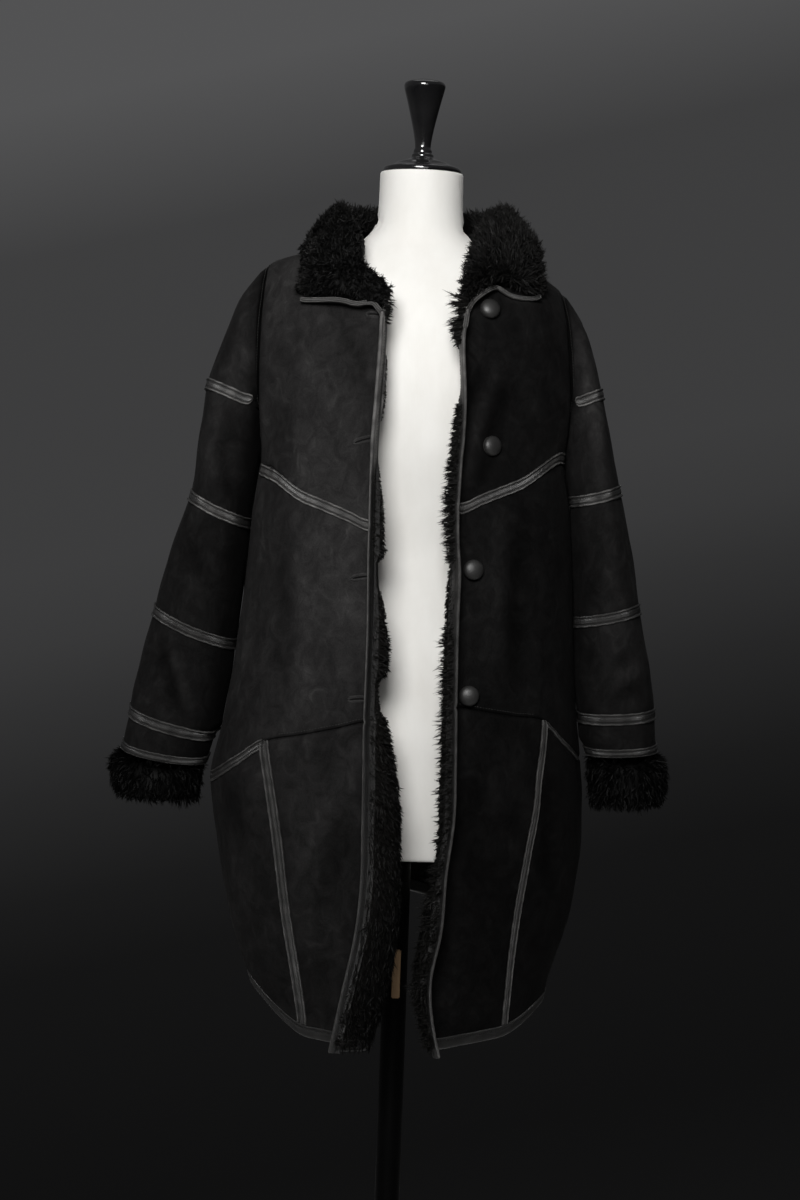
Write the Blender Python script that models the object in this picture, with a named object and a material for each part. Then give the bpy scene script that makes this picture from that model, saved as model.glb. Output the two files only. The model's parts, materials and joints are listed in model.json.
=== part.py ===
"""Shearling coat, worn open on a limbless dress form. Metres, +Z up, floor at Z = 0.

The front of the coat faces -Y. left = the half at -X, right = the half at +X.
One outer skin is worked out for body and sleeves, then cut along its seams. Each
cut gets its wall from the skin's own normals, so two cuts stay 0.3 mm apart
through their whole thickness.
"""
import bpy
import math
import numpy as np
from mathutils import Vector
from mathutils.bvhtree import BVHTree

for old in list(bpy.data.objects):
    bpy.data.objects.remove(old, do_unlink=True)
coll = bpy.data.collections.new("shearling_coat")
bpy.context.scene.collection.children.link(coll)

# ------------------------------------------------------------- named sizes
WALL = 0.0100        # hide 1.2 mm with the clipped wool on its inside
WALL_BOUND = 0.0035  # the same wall where a binding holds the wool flat
WALL_NECK, WALL_NEAR_NECK = .0070, .0085
WALL_ARM, WALL_NEAR_ARM, WALL_NEAR_UNDERARM = .0065, .0075, .0070
SEAM = 0.00015       # each cut stands back this far from its seam line
LIFT = 0.00040       # strips lie this far over the hide
CLEAR = 0.00028      # and their flat facets at least this far
STRIP_W = 0.0105     # leather strip over a seam
STRIP_T = 0.0012
BIND_W = 0.0110      # each flange of the folded binding
BIND_T = 0.0011
EDGE_GAP = .0002     # between an edge and the binding round it
FLANGE = .985        # width of a flange, as a share of its lattice cell
BESIDE_BINDING = .06 # other leather starts this far from a binding, in lattice cells
TAIL = {"left": 0.0045, "right": 0.0090}   # the front bindings hang out below the hem
POCKET_W = 0.0125    # wide strip at a pocket mouth
CUFF_PUFF = 0.0150   # fur of a cuff beyond its sleeve
NF, NB, NS = 12, 7, 20          # columns: front half, back half, round a sleeve
ROLL_COL = 5                    # column where the front edge starts to turn out
STRIP_COL = 8                   # column of the strip below the pocket point
ROLL_R, ROLL_R_GROWS = .0088, .09   # radius of the turned edge, and its growth with the width turned out
ROLL_FLAT = .0115               # least straight length after the turn

# ------------------------------------------------------------- tables
# z, half width of the body
HALF = {
    "left": [(.500, .146), (.543, .152), (.570, .160), (.602, .171), (.647, .186), (.703, .200),
         (.752, .2085), (.795, .2135), (.835, .2050), (.885, .1955), (.950, .187), (1.040, .181),
         (1.090, .1775), (1.148, .171), (1.210, .174), (1.290, .175), (1.340, .173), (1.368, .169),
         (1.3795, .133), (1.392, .100), (1.401, .083), (1.408, .072)],
    "right": [(.500, .155), (.540, .163), (.568, .170), (.602, .1787), (.647, .1906), (.703, .2000),
         (.752, .2035), (.792, .2025), (.835, .198), (.885, .1925), (.950, .186), (1.040, .180),
         (1.090, .178), (1.148, .170), (1.220, .1755), (1.289, .171), (1.325, .166), (1.349, .159),
         (1.361, .1395), (1.378, .105), (1.391, .084), (1.400, .072)]}
DEPTH = [  # z, front, back, boxiness
    (.500, .128, .122, 2.2), (.543, .133, .128, 2.2), (.602, .143, .138, 2.25), (.647, .151, .146, 2.3),
    (.703, .158, .153, 2.35), (.795, .164, .160, 2.4), (.885, .159, .156, 2.4), (.950, .157, .153, 2.4),
    (1.040, .155, .149, 2.35), (1.148, .152, .147, 2.3), (1.210, .149, .146, 2.3), (1.290, .137, .139, 2.2),
    (1.320, .127, .131, 2.2), (1.349, .112, .118, 2.15), (1.368, .099, .106, 2.1), (1.380, .085, .093, 2.0),
    (1.392, .070, .079, 2.0), (1.400, .058, .067, 2.0), (1.408, .045, .054, 2.0)]
# armhole from shoulder point to underarm: z left, z right, y front, y back
ARM = [(1.368, 1.349, .000, .000), (1.360, 1.342, -.018, .022), (1.342, 1.328, -.032, .038),
       (1.316, 1.307, -.042, .050), (1.284, 1.280, -.047, .056), (1.248, 1.250, -.048, .058),
       (1.210, 1.220, -.045, .055), (1.180, 1.186, -.037, .046), (1.162, 1.165, -.027, .034),
       (1.152, 1.153, -.014, .018), (1.148, 1.148, .000, .000)]
OPENER = [(1.140, 0), (1.148, 0), (1.185, .018), (1.325, .018), (1.349, .008), (1.372, 0), (1.420, 0)]
# front edge: z, free edge x, width turned out
EDGE = {
    "left": [(.500, -.062, .033), (.512, -.060, .033), (.556, -.0545, .035), (.588, -.049, .035),
         (.631, -.0425, .034), (.674, -.038, .034), (.720, -.0385, .033), (.780, -.039, .031),
         (.812, -.0395, .026), (.845, -.040, .019), (.890, -.0395, .010), (.952, -.039, .011),
         (1.059, -.0405, .007), (1.146, -.0405, .004), (1.211, -.0385, .004), (1.298, -.036, .003),
         (1.320, -.036, .003)],
    "right": [(.500, .045, .002), (.512, .044, .002), (.548, .035, .004), (.570, .0345, .006),
         (.612, .041, .009), (.666, .047, .010), (.698, .048, .007), (.741, .053, .005),
         (.784, .055, .006), (.848, .053, .006), (.900, .0525, .008), (.944, .0525, .007),
         (1.020, .053, .006), (1.084, .049, .004), (1.149, .050, .003), (1.214, .052, .003),
         (1.280, .049, .003), (1.312, .052, .003), (1.330, .052, .003)]}
STRIP_X = {"left": [(.500, .096), (.543, .1015), (.690, .126), (.838, .1495), (.860, .1515)],
           "right": [(.500, .118), (.557, .123), (.699, .1355), (.870, .154), (.900, .156)]}
# lattice rows, by z: front edge l r, strip l r, side l r, back centre; steps up to the next
ROWS = [("hem", (.510, .511), (.518, .524), (.573, .556), .663, 1),
        ("hem_top", (.521, .522), (.529, .535), (.584, .567), .674, 6),
        ("hip", (.864, .883), (.838, .870), (.793, .827), .835, 6),
        ("chest", (1.075, 1.097), (1.106, 1.127), (1.148, 1.148), 1.148, 14)]
CHEST_SIDE = {"left": 1.150, "right": 1.164}   # where the chest seam reaches the visible side
EDGE_TOP = {"left": 1.306, "right": 1.312}
NECK_F = {
    "left": [(.048, 1.316), (.054, 1.340), (.0585, 1.359), (.062, 1.374), (.066, 1.390),
         (.0695, 1.401)],
    "right": [(.0605, 1.322), (.0625, 1.342), (.0645, 1.359), (.0665, 1.373), (.069, 1.386),
         (.0710, 1.395)]}
NECK_B = [(0, 1.394), (.014, 1.3945), (.028, 1.396), (.041, 1.398), (.052, 1.400), (.062, 1.403),
          (.069, 1.406)]
# sleeve rings below the cap: outer x z, inner x z, y centre, y half depth, front drop
RINGS = {
    "left": [("band2", .247, 1.107, .1855, 1.076, .004, .076, -.004),
         ("band3", .283, .978, .199, .942, -.002, .060, -.006),
         ("band4", .306, .866, .210, .842, -.010, .055, -.009),
         ("trim", .3125, .824, .218, .811, -.014, .053, -.009),
         ("end", .314, .772, .224, .768, -.016, .052, -.006)],
    "right": [("band2", .234, 1.127, .1855, 1.112, .004, .076, -.003),
         ("band3", .259, .996, .190, .979, -.002, .062, -.004),
         ("band4", .2795, .880, .200, .874, -.008, .057, -.005),
         ("trim", .283, .838, .205, .833, -.012, .056, -.005),
         ("end", .286, .779, .209, .776, -.014, .055, -.004)]}
RING_STEPS = [3, 4, 4, 2]       # cap foot..band2, band2..3, 3..4, 4..trim
CAP_STEPS = 3                   # armhole to the first band
# silhouette over the sleeve head
CAP_TOP = {
    "left": [(.169, 1.368), (.180, 1.358), (.190, 1.342), (.199, 1.326), (.209, 1.301), (.219, 1.273),
         (.230, 1.244), (.236, 1.201), (.239, 1.167), (.244, 1.128), (.247, 1.107)],
    "right": [(.159, 1.349), (.170, 1.337), (.179, 1.321), (.189, 1.300), (.197, 1.272), (.207, 1.244),
         (.214, 1.216), (.223, 1.172), (.234, 1.127)]}
BAND1 = {"left": ((.179, 1.208), (.231, 1.230)), "right": ((.176, 1.218), (.212, 1.234))}
# collar stations, front corner to back centre: crest x y z, leaf edge x y z, thickness
COLLAR = {
    "left": [(-.0310, -.141, 1.322, -.054, -.138, 1.308, .014),
         (-.036, -.138, 1.343, -.066, -.136, 1.316, .019),
         (-.060, -.120, 1.374, -.090, -.128, 1.321, .023),
         (-.068, -.092, 1.410, -.122, -.110, 1.323, .025),
         (-.082, -.055, 1.430, -.137, -.086, 1.337, .025),
         (-.087, -.015, 1.437, -.127, -.035, 1.371, .025),
         (-.080, .022, 1.437, -.116, .022, 1.374, .025), (-.058, .050, 1.438, -.088, .084, 1.360, .025),
         (-.030, .065, 1.438, -.047, .113, 1.355, .025)],
    "right": [(.049, -.141, 1.326, .0650, -.138, 1.319, .010),
         (.046, -.138, 1.350, .0745, -.136, 1.338, .018),
         (.054, -.120, 1.385, .089, -.128, 1.344, .023), (.067, -.092, 1.415, .113, -.110, 1.335, .025),
         (.083, -.055, 1.435, .135, -.088, 1.334, .026), (.092, -.015, 1.440, .131, -.038, 1.358, .026),
         (.084, .022, 1.438, .117, .022, 1.366, .026), (.060, .050, 1.438, .089, .084, 1.358, .025),
         (.030, .065, 1.438, .047, .113, 1.355, .025)]}
COLLAR_BACK = (0, .071, 1.438, 0, .122, 1.353, .025)
BUTTONS = [(.078, 1.315), (.084, 1.166), (.069, 1.031), (.069, .895)]
BUTTON = [(.0070, 0), (.0100, .0012), (.0112, .0034), (.0108, .0056), (.0088, .0077), (.0052, .0091),
          (.0018, .0098)]
# fur cuff: share of the way from trim to sleeve end, distance out of the sleeve's skin
CUFF = [(.10, CUFF_PUFF * .62), (.32, CUFF_PUFF * .97), (.62, CUFF_PUFF), (.88, CUFF_PUFF * .72),
        (1.03, .0045), (1.02, -.0050), (.90, -.0090), (.45, -.0098)]
# dress form: z, half width, front, back, boxiness
FORM = [(.7100, .150, .098, .105, 2.1), (.7600, .157, .104, .112, 2.1), (.8300, .159, .104, .115, 2.1),
        (.9000, .148, .097, .104, 2.1), (.9800, .122, .086, .088, 2.1), (1.0400, .115, .084, .082, 2.1),
        (1.1000, .124, .093, .088, 2.15), (1.1700, .138, .108, .096, 2.2),
        (1.2200, .146, .112, .100, 2.2), (1.2800, .153, .104, .099, 2.2),
        (1.3200, .151, .092, .090, 2.15), (1.3480, .146, .080, .080, 2.1),
        (1.3640, .126, .071, .073, 2.0), (1.3790, .098, .062, .064, 2.0),
        (1.3950, .066, .053, .055, 2.0), (1.4150, .050, .049, .051, 2.0),
        (1.4400, .047, .047, .048, 2.0), (1.4740, .0465, .0465, .0465, 2.0)]
FINIAL = [(.0437, 1.4743), (.0440, 1.4775), (.0425, 1.4805), (.0330, 1.4830), (.0270, 1.4870),
          (.0180, 1.4890), (.0125, 1.4915), (.0125, 1.4950), (.0105, 1.4965), (.0105, 1.5000),
          (.0085, 1.5030), (.0110, 1.5200), (.0160, 1.5420), (.0205, 1.5600), (.0230, 1.5690),
          (.0235, 1.5730), (.0215, 1.5765), (.0120, 1.5790)]
FORM_LEVELS = [.710, .740, .780, .830, .870, .910, .955, 1.000, 1.045, 1.090, 1.135, 1.180, 1.220, 1.255,
               1.285, 1.308, 1.326, 1.340, 1.351, 1.361, 1.372, 1.385, 1.400, 1.420, 1.474]
FORM_SEG = 24
FORM_CLEAR = .0007   # least gap between form and lining
POLE_R, POLE_TOP = .0140, .7097
PEG, PEG_Z = ((-.0030, -.0204), (.0062, -.0144)), (.552, .606)    # corners x y, ends z
BASE = [(.1880, .0), (.1900, .0020), (.1900, .0100), (.1850, .0140), (.1200, .0190), (.0400, .0230),
        (.0250, .0270), (.0230, .0330)]
# colour, roughness
LOOKS = {  # colour, roughness
    "suede": ((.016, .015, .016), .95), "leather": ((.045, .043, .042), .45), "fur": ((.010, .009, .009), .9),
    "form": ((.78, .76, .71), .6), "lacquer": ((.008, .008, .009), .12), "metal": ((.02, .02, .021), .35),
    "peg": ((.62, .42, .25), .6)}
LEFT_RIGHT = {"left": 0, "right": 1}    # place of a half's value in a pair
FRONT_SHARE = (0, .45, .75, .925, 1)    # columns from the strip to the side, as shares of the way
BACK_SHARE = (0, .2, .4, .58, .74, .87, .96, 1)
MID_X = .120                            # x of the strip's column at the chest seam
ROLL_TURN = ([0, .010, .020, .034], [100, 124, 140, 150])   # width turned out, degrees of turn
YOKE_ROWS = 10                          # rows from the chest seam to the shoulder point
YOKE_SHARE = .75                        # and their share of the yoke's height
RING_BOX = 2.25                         # boxiness of a sleeve's section
CAP_OUT, CAP_UNDER = (.80, 0, -.60), (.28, 0, -1.0)   # way the sleeve leaves the shoulder, the underarm


# ------------------------------------------------------------- helpers
def pchip(points):
    """Monotone cubic through rows (x, a, b, ...); returns f(x) -> array of the other columns."""
    t = np.array([p[0] for p in points], float)
    v = np.array([p[1:] for p in points], float)
    h = np.diff(t)[:, None]
    d = np.diff(v, axis=0) / h
    m = np.zeros_like(v)
    m[0], m[-1] = d[0], d[-1]
    for k in range(1, len(t) - 1):
        w1, w2 = 2 * h[k] + h[k - 1], h[k] + 2 * h[k - 1]
        ok = d[k - 1] * d[k] > 0
        with np.errstate(divide="ignore", invalid="ignore"):
            m[k] = np.where(ok, (w1 + w2) / (w1 / d[k - 1] + w2 / d[k]), 0)

    def f(x):
        x = min(max(x, t[0]), t[-1])
        k = min(max(int(np.searchsorted(t, x)) - 1, 0), len(t) - 2)
        hk = t[k + 1] - t[k]
        s = (x - t[k]) / hk
        return ((2 * s**3 - 3 * s**2 + 1) * v[k] + (s**3 - 2 * s**2 + s) * hk * m[k]
                + (-2 * s**3 + 3 * s**2) * v[k + 1] + (s**3 - s**2) * hk * m[k + 1])
    return f


def unit(v):
    return v / max(np.linalg.norm(v), 1e-12)


def lerp(a, b, t):
    return a + (b - a) * t


SGN = {"left": -1.0, "right": 1.0}
half_w = {s: pchip(HALF[s]) for s in HALF}
depth = pchip(DEPTH)
edge_at = {s: pchip(EDGE[s]) for s in EDGE}
strip_x = {s: pchip(STRIP_X[s]) for s in STRIP_X}
opener = pchip(OPENER)
arm_y = {s: pchip(sorted([(a[0 if s == "left" else 1], a[2], a[3]) for a in ARM] + [(1.0, 0, 0), (1.5, 0, 0)]))
         for s in SGN}


def skin_y(side, half, x, z):
    """y of the body's outer skin at |x|, z."""
    a = half_w[side](z)[0]
    front, back, n = depth(z)
    b = front if half == "front" else back
    ya = abs(arm_y[side](z)[0 if half == "front" else 1])
    av = a + opener(z)[0]
    c = max(0.0, 1 - (a / av) ** n) ** (1 / n)
    ys = (ya - b * c) / (1 - c)                     # side of the section, in the direction of this half
    y = ys + (b - ys) * max(0.0, 1 - (min(x, av) / av) ** n) ** (1 / n)
    return -y if half == "front" else y


# ------------------------------------------------------------- the outer skin
verts, vid, faces, ftag = [], {}, [], []
ROW, S_ROW = {}, {}                     # lattice row numbers by name, body and sleeve


def add(key, p):
    if key not in vid:
        vid[key] = len(verts)
        verts.append(np.array(p, float))
    return vid[key]


def number_rows():
    n = 0
    for row in ROWS:
        ROW[row[0]] = n
        n += row[-1]
    ROW["shoulder"], ROW["neck"] = ROW["chest"] + YOKE_ROWS, n


number_rows()
NR = ROW["neck"]


def row_z(side, station, j):
    """z of lattice row j, up to the chest, at a station of ROWS: 1 edge, 2 strip, 3 side, 4 back centre."""
    k = max(q for q in range(len(ROWS) - 1) if ROW[ROWS[q][0]] <= j)
    t = (j - ROW[ROWS[k][0]]) / ROWS[k][-1]
    low, high = ROWS[k][station], ROWS[k + 1][station]
    if station != 4:
        low, high = low[LEFT_RIGHT[side]], high[LEFT_RIGHT[side]]
    return lerp(low, high, t)


def roll(side, z):
    """Turned-out front edge at height z: start x, turn, radius, straight length."""
    xe, w = edge_at[side](z)
    turn = math.radians(float(np.interp(w, *ROLL_TURN)))
    r = ROLL_R + ROLL_R_GROWS * w
    straight = max(ROLL_FLAT, (w - r * (1 - math.sin(turn))) / max(-math.cos(turn), .15))
    w = r * (1 - math.sin(turn)) - straight * math.cos(turn)
    return abs(xe) - w + r, turn, r, straight


def front_point(side, x, z):
    return np.array([SGN[side] * x, skin_y(side, "front", x, z), z])


def rolled(side, z, k):
    """Column k (0 free edge .. 5 start of the roll) at height z."""
    x0, turn, r, straight = roll(side, z)
    p0 = front_point(side, x0, z)
    t0 = unit(p0 - front_point(side, x0 + .004, z))  # toward the centre
    n0 = np.array([t0[1], -t0[0], 0.0])
    if n0[1] > 0:
        n0 = -n0
    total = straight + r * turn
    s = 0 if k == 0 else BIND_W + (total - BIND_W) * (k - 1) / (ROLL_COL - 1)
    left = total - s                                 # length from the start of the roll
    ang = min(left / r, turn)
    over = max(0.0, left - r * turn)
    p = p0 + r * math.sin(ang) * t0 + r * (1 - math.cos(ang)) * n0
    return p + over * (math.cos(turn) * t0 + math.sin(turn) * n0)


def front_row(side, j):
    """Row j of a front, from the hem up to the chest seam."""
    ze, zs, zd = (row_z(side, q, j) for q in (1, 2, 3))
    x0 = roll(side, ze)[0]
    if j <= ROW["hip"]:
        xs = strip_x[side](zs)[0]
    else:
        t = (j - ROW["hip"]) / (ROW["chest"] - ROW["hip"])
        xs = lerp(strip_x[side](row_z(side, 2, ROW["hip"]))[0], MID_X, t)
    for i in range(ROLL_COL + 1):
        add(("F", side, i, j), rolled(side, ze, i))
    for i in range(ROLL_COL + 1, STRIP_COL + 1):
        t = (i - ROLL_COL) / (STRIP_COL - ROLL_COL)
        add(("F", side, i, j), front_point(side, lerp(x0, xs, t), lerp(ze, zs, t)))
    for i in range(STRIP_COL + 1, NF + 1):
        share = FRONT_SHARE[i - STRIP_COL]
        r = lerp(xs / half_w[side](zs)[0], 1, share)
        z = lerp(zs, zd, share ** (1.5 if j <= ROW["hem_top"] else 1))
        if j == ROW["chest"] and i < NF:
            z = lerp(zs, CHEST_SIDE[side], share if i < NF - 1 else .72)
        add(("F", side, i, j), front_point(side, r * half_w[side](z)[0], z))


def back_row(side, j):
    """Row j of half the back, from the hem up to the chest seam; its side column is the front's."""
    zd, zc = row_z(side, 3, j), row_z(side, 4, j)
    for i, r in enumerate(BACK_SHARE):
        z = zd + (zc - zd) * (1 - r ** 1.7)
        if i == NB:
            vid[("B", side, i, j)] = vid[("F", side, NF, j)]
        elif i == 0 and side == "right":
            vid[("B", side, i, j)] = vid[("B", "left", 0, j)]
        else:
            x = r * half_w[side](z)[0]
            add(("B", side, i, j), (SGN[side] * x, skin_y(side, "back", x, z), z))


def yoke_ends(side):
    """(x, z) up the armhole, then along the shoulder seam to the neck, for each yoke row."""
    ends = []
    for z in (a[LEFT_RIGHT[side]] for a in ARM[::-1]):
        ends.append((half_w[side](z)[0], z))
    return ends + [(x, z) for z, x in HALF[side][-4:]]


def yoke(side, kind):
    """Coons patch between chest seam, front edge or back centre, armhole with shoulder, and neckline."""
    half = "front" if kind == "F" else "back"
    cols = list(range(ROLL_COL, NF + 1)) if kind == "F" else list(range(NB + 1))
    rows = range(ROW["chest"], NR + 1)
    ends = yoke_ends(side)
    bottom = [verts[vid[(kind, side, i, ROW["chest"])]] for i in cols]
    bottom = [(abs(p[0]), p[2]) for p in bottom]
    z_top = EDGE_TOP[side] if kind == "F" else NECK_B[0][1]
    arm_rows = np.linspace(0, YOKE_SHARE, YOKE_ROWS + 1)
    vs = [*arm_rows, *np.linspace(YOKE_SHARE, 1, NR - ROW["shoulder"] + 1)[1:]]
    zs = [lerp(bottom[0][1], z_top, v) for v in vs]
    if kind == "F":
        starts = [(roll(side, z)[0], z) for z in zs]
        top = [starts[-1]] + NECK_F[side] + [ends[-1]]
    else:
        starts = [(0.0, z) for z in zs]
        drop = 0 if side == "left" else .008 / .072     # the right shoulder is the lower one
        top = [starts[-1]] + [(x, z - drop * x) for x, z in NECK_B[1:]] + [ends[-1]]
    us = np.cumsum([0] + [math.dist(a, b) for a, b in zip(bottom, bottom[1:])])
    us = us / us[-1]
    B, T, L, R = (np.array(q, float) for q in (bottom, top, starts, ends))
    for q, j in enumerate(rows):
        if q == 0:
            continue
        v = vs[q]
        for c, i in enumerate(cols):
            u = us[c]
            x, z = ((1 - v) * B[c] + v * T[c] + (1 - u) * L[q] + u * R[q] - (1 - u) * (1 - v) * B[0]
                    - u * (1 - v) * B[-1] - (1 - u) * v * T[0] - u * v * T[-1])
            if 0 < c < len(cols) - 1:
                x = min(x, half_w[side](z)[0] * (.985 if c < len(cols) - 2 else .992))
            key = (kind, side, i, j)
            if kind == "B" and i == NB and j >= ROW["shoulder"]:
                vid[key] = vid[("F", side, NF, j)]
            elif kind == "B" and i == 0 and side == "right":
                vid[key] = vid[("B", "left", 0, j)]
            else:
                add(key, (SGN[side] * x, skin_y(side, half, x, z), z))
    if kind == "F":
        for q, j in enumerate(rows):
            if q:
                for i in range(ROLL_COL):
                    add(("F", side, i, j), rolled(side, zs[q], i))


for side in SGN:
    for j in range(ROW["chest"] + 1):
        front_row(side, j)
        back_row(side, j)
    yoke(side, "F")
    yoke(side, "B")


def wave(side, kind, x, z):
    """Soft lie of the cloth below the chest: a few broad waves."""
    k = SGN[side]
    low = np.clip((1.12 - z) / .10, 0, 1)
    broad = math.sin(23 * x * k + 12.3 * z + (1.0 if kind == "F" else 2.3)) * math.sin(9.5 * z + k)
    return (.0022 * broad + .0018 * math.sin(41 * x + 17 * z + 1.7 * k)) * low


for key, q in list(vid.items()):
    kind, side, i, j = key
    fixed = i < ROLL_COL + 1 or i == NF if kind == "F" else i == NB
    if j <= ROW["chest"] and not fixed:
        p = verts[q]
        d = unit(np.array([p[0], p[1] * 1.4, 0]))
        verts[q] = p + d * wave(side, kind, abs(p[0]), p[2])


def loop_key(side, i):
    """Armhole vertex i of 20: 0 shoulder point, 5 front, 10 underarm, 15 back."""
    i %= NS
    if i <= NS // 2:
        return ("F", side, NF, ROW["shoulder"] - i)
    return ("B", side, NB, ROW["chest"] + i - NS // 2)


def ring_angle(i):
    return 2 * math.pi * i / NS


def ring_point(side, ring, phi):
    """Point of a sleeve's section at angle phi from its outer end, round by the front."""
    xo, zo, xi, zi, yc, ry, drop = ring
    c, s = math.cos(phi), math.sin(phi)
    cc = math.copysign(abs(c) ** (2 / RING_BOX), c)
    ss = math.copysign(abs(s) ** (2 / RING_BOX), s)
    x = (xo + xi) / 2 + cc * (xo - xi) / 2
    z = (zo + zi) / 2 + cc * (zo - zi) / 2 + drop * ss * (1 if s > 0 else .4)
    return np.array([SGN[side] * x, yc - ry * ss, z])


def cap_curve(side, i, s):
    """Down the sleeve from the armhole (s = 0) to the second band (s = 1) on column i."""
    phi = ring_angle(i)
    a = verts[vid[loop_key(side, i)]]
    b = ring_point(side, RINGS[side][0][1:], phi)
    chord = np.linalg.norm(b - a)
    w = (1 - math.cos(phi)) / 2
    sg = np.array([SGN[side], 1, 1])
    ta = lerp(sg * CAP_OUT, sg * CAP_UNDER, w ** .8)
    ta = unit(ta + np.array([0, -.22 * math.sin(phi), 0])) * chord * lerp(.75, .9, w)
    tb = unit(ring_point(side, RINGS[side][1][1:], phi) - b) * chord * .8
    return ((2 * s**3 - 3 * s**2 + 1) * a + (s**3 - 2 * s**2 + s) * ta
            + (-2 * s**3 + 3 * s**2) * b + (s**3 - s**2) * tb)


def cap_top(side):
    """Silhouette over the sleeve head as a function of the share of its length."""
    pts = CAP_TOP[side]
    acc = np.cumsum([0] + [math.dist(a, b) for a, b in zip(pts, pts[1:])])
    return pchip([(q / acc[-1], *p) for q, p in zip(acc, pts)])


top_at = {side: cap_top(side) for side in SGN}


def cap_point(side, i, s):
    """cap_curve, moved out so that the sleeve head keeps its silhouette."""
    w = math.cos(ring_angle(min(i, NS - i) if i >= 0 else i) / 2) ** 2
    x, z = top_at[side](s)
    fix = np.array([SGN[side] * x, 0, z]) - cap_curve(side, 0, s)
    fix[1] = 0
    return cap_curve(side, i, s) + fix * w ** 1.5


def band1_share(side, i):
    """Where the first band crosses column i, as a share of the sleeve head; 0 near the underarm."""
    if min(i, NS - i) >= 6:
        return 0.0
    (x0, z0), (x1, z1) = BAND1[side]
    lo, hi = 0.0, .8
    for _ in range(30):
        mid = (lo + hi) / 2
        p = cap_point(side, i, mid)
        line = z0 + (z1 - z0) * np.clip((abs(p[0]) - x0) / (x1 - x0), -.2, 1.2)
        if p[2] > line:
            lo = mid
        else:
            hi = mid
    return lo


def sleeve_head(side):
    """Rows from the armhole past the first band to the second."""
    for i in range(NS):
        s1 = band1_share(side, i)
        for q in range(CAP_STEPS + 1):
            if s1 == 0 or q == 0:
                vid[("S", side, i, q)] = vid[loop_key(side, i)]
            else:
                add(("S", side, i, q), cap_point(side, i, s1 * q / CAP_STEPS))
        for q in range(1, RING_STEPS[0] + 1):
            add(("S", side, i, CAP_STEPS + q), cap_point(side, i, s1 + (1 - s1) * q / RING_STEPS[0]))


def sleeve_tube(side):
    """Rows from the second band to the trim over the cuff, with a slight swell between the bands."""
    base = S_ROW["band2"]
    ring_at = pchip([(q, *r[1:]) for q, r in enumerate(RINGS[side])])
    for seg, count in enumerate(RING_STEPS[1:]):
        for q in range(1, count + 1):
            t = seg + q / count
            ring = ring_at(t)
            middle = (ring_point(side, ring, 0) + ring_point(side, ring, math.pi)) / 2
            for i in range(NS):
                phi = ring_angle(i)
                p = ring_point(side, ring, phi)
                swell = .0016 * math.sin(3 * phi + 2.2 * t) * math.sin(math.pi * t) if q < count else 0
                add(("S", side, i, base + q), p + unit(p - middle) * swell)
        base += count
        S_ROW[RINGS[side][seg + 1][0]] = base


S_ROW["loop"], S_ROW["band1"], S_ROW["band2"] = 0, CAP_STEPS, CAP_STEPS + RING_STEPS[0]
for side in SGN:
    sleeve_head(side)
    sleeve_tube(side)
NSR = S_ROW["trim"]


# ------------------------------------------------------------- cuts
def cut_of(kind, side, i, j):
    """Name of the cut that the lattice cell (i, j) belongs to."""
    if kind == "B":
        return "back_lower" if j < ROW["hip"] else "back_upper"
    if kind == "F" and j < ROW["hip"]:
        return ("front_lower_" if i < STRIP_COL else "pocket_panel_") + side
    if kind == "F":
        return ("front_middle_" if j < ROW["chest"] else "front_yoke_") + side
    bands = sum(j >= S_ROW[name] for name in ("band1", "band2", "band3", "band4"))
    return f"sleeve_{bands + 1}_{side}"


def cell(kind, side, i, j):
    """Face of one lattice cell, wound outward; corners that meet are taken once."""
    i2 = (i + 1) % NS if kind == "S" else i + 1
    keys = [(kind, side, i, j), (kind, side, i2, j), (kind, side, i2, j + 1), (kind, side, i, j + 1)]
    if kind == "F":
        keys = [keys[0], keys[3], keys[2], keys[1]]
    if (side == "right") != (kind == "S"):
        keys = keys[::-1]
    ids = list(dict.fromkeys(vid[k] for k in keys))
    if len(ids) >= 3:
        faces.append(ids)
        ftag.append(cut_of(kind, side, i, j))


for side in SGN:
    for j in range(NR):
        for kind, n in (("F", NF), ("B", NB)):
            for i in range(n):
                cell(kind, side, i, j)
    for i in range(NS):
        for j in range(NSR):
            cell("S", side, i, j)
V = np.array(verts)


def triangulate(f):
    return [f] if len(f) == 3 else [[f[0], f[1], f[2]], [f[0], f[2], f[3]]]


def vertex_normals():
    """Normals of the skin, each face counted by its corner's angle."""
    out = np.zeros_like(V)
    for f in faces:
        p = V[f]
        for c in range(len(f)):
            a, b = p[(c + 1) % len(f)] - p[c], p[c - 1] - p[c]
            n = np.cross(a, b)
            la, lb = np.linalg.norm(a), np.linalg.norm(b)
            if la > 1e-9 and lb > 1e-9 and np.linalg.norm(n) > 1e-14:
                out[f[c]] += unit(n) * math.acos(max(-1, min(1, float(a @ b) / (la * lb))))
    return out / np.maximum(np.linalg.norm(out, axis=1), 1e-9)[:, None]


def wall_thickness():
    """Hide and wool; thin under the bindings, at the neck and where cuts crowd at the underarm."""
    wall = np.full(len(V), WALL)
    for (kind, side, i, j), q in vid.items():
        if kind in "FB" and (j <= 1 or kind == "F" and i <= 1):
            wall[q] = WALL_BOUND
        if kind in "FB" and j >= NR - 1 and wall[q] > WALL_NECK:
            wall[q] = WALL_NECK if j == NR else WALL_NEAR_NECK
    for side in SGN:
        for i in range(7, 14):
            wall[vid[loop_key(side, i)]] = WALL_ARM
            for q in (1, 2):
                wall[vid[("S", side, i, q + CAP_STEPS)]] = WALL_NEAR_ARM
        for j in range(ROW["chest"] - 1, ROW["chest"] + 4):
            wall[vid[("F", side, NF - 1, j)]] = WALL_NEAR_UNDERARM
            wall[vid[("F", side, NF, j)]] = WALL_ARM
            wall[vid[("B", side, NB - 1, j)]] = WALL_NEAR_UNDERARM
    return wall


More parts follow.
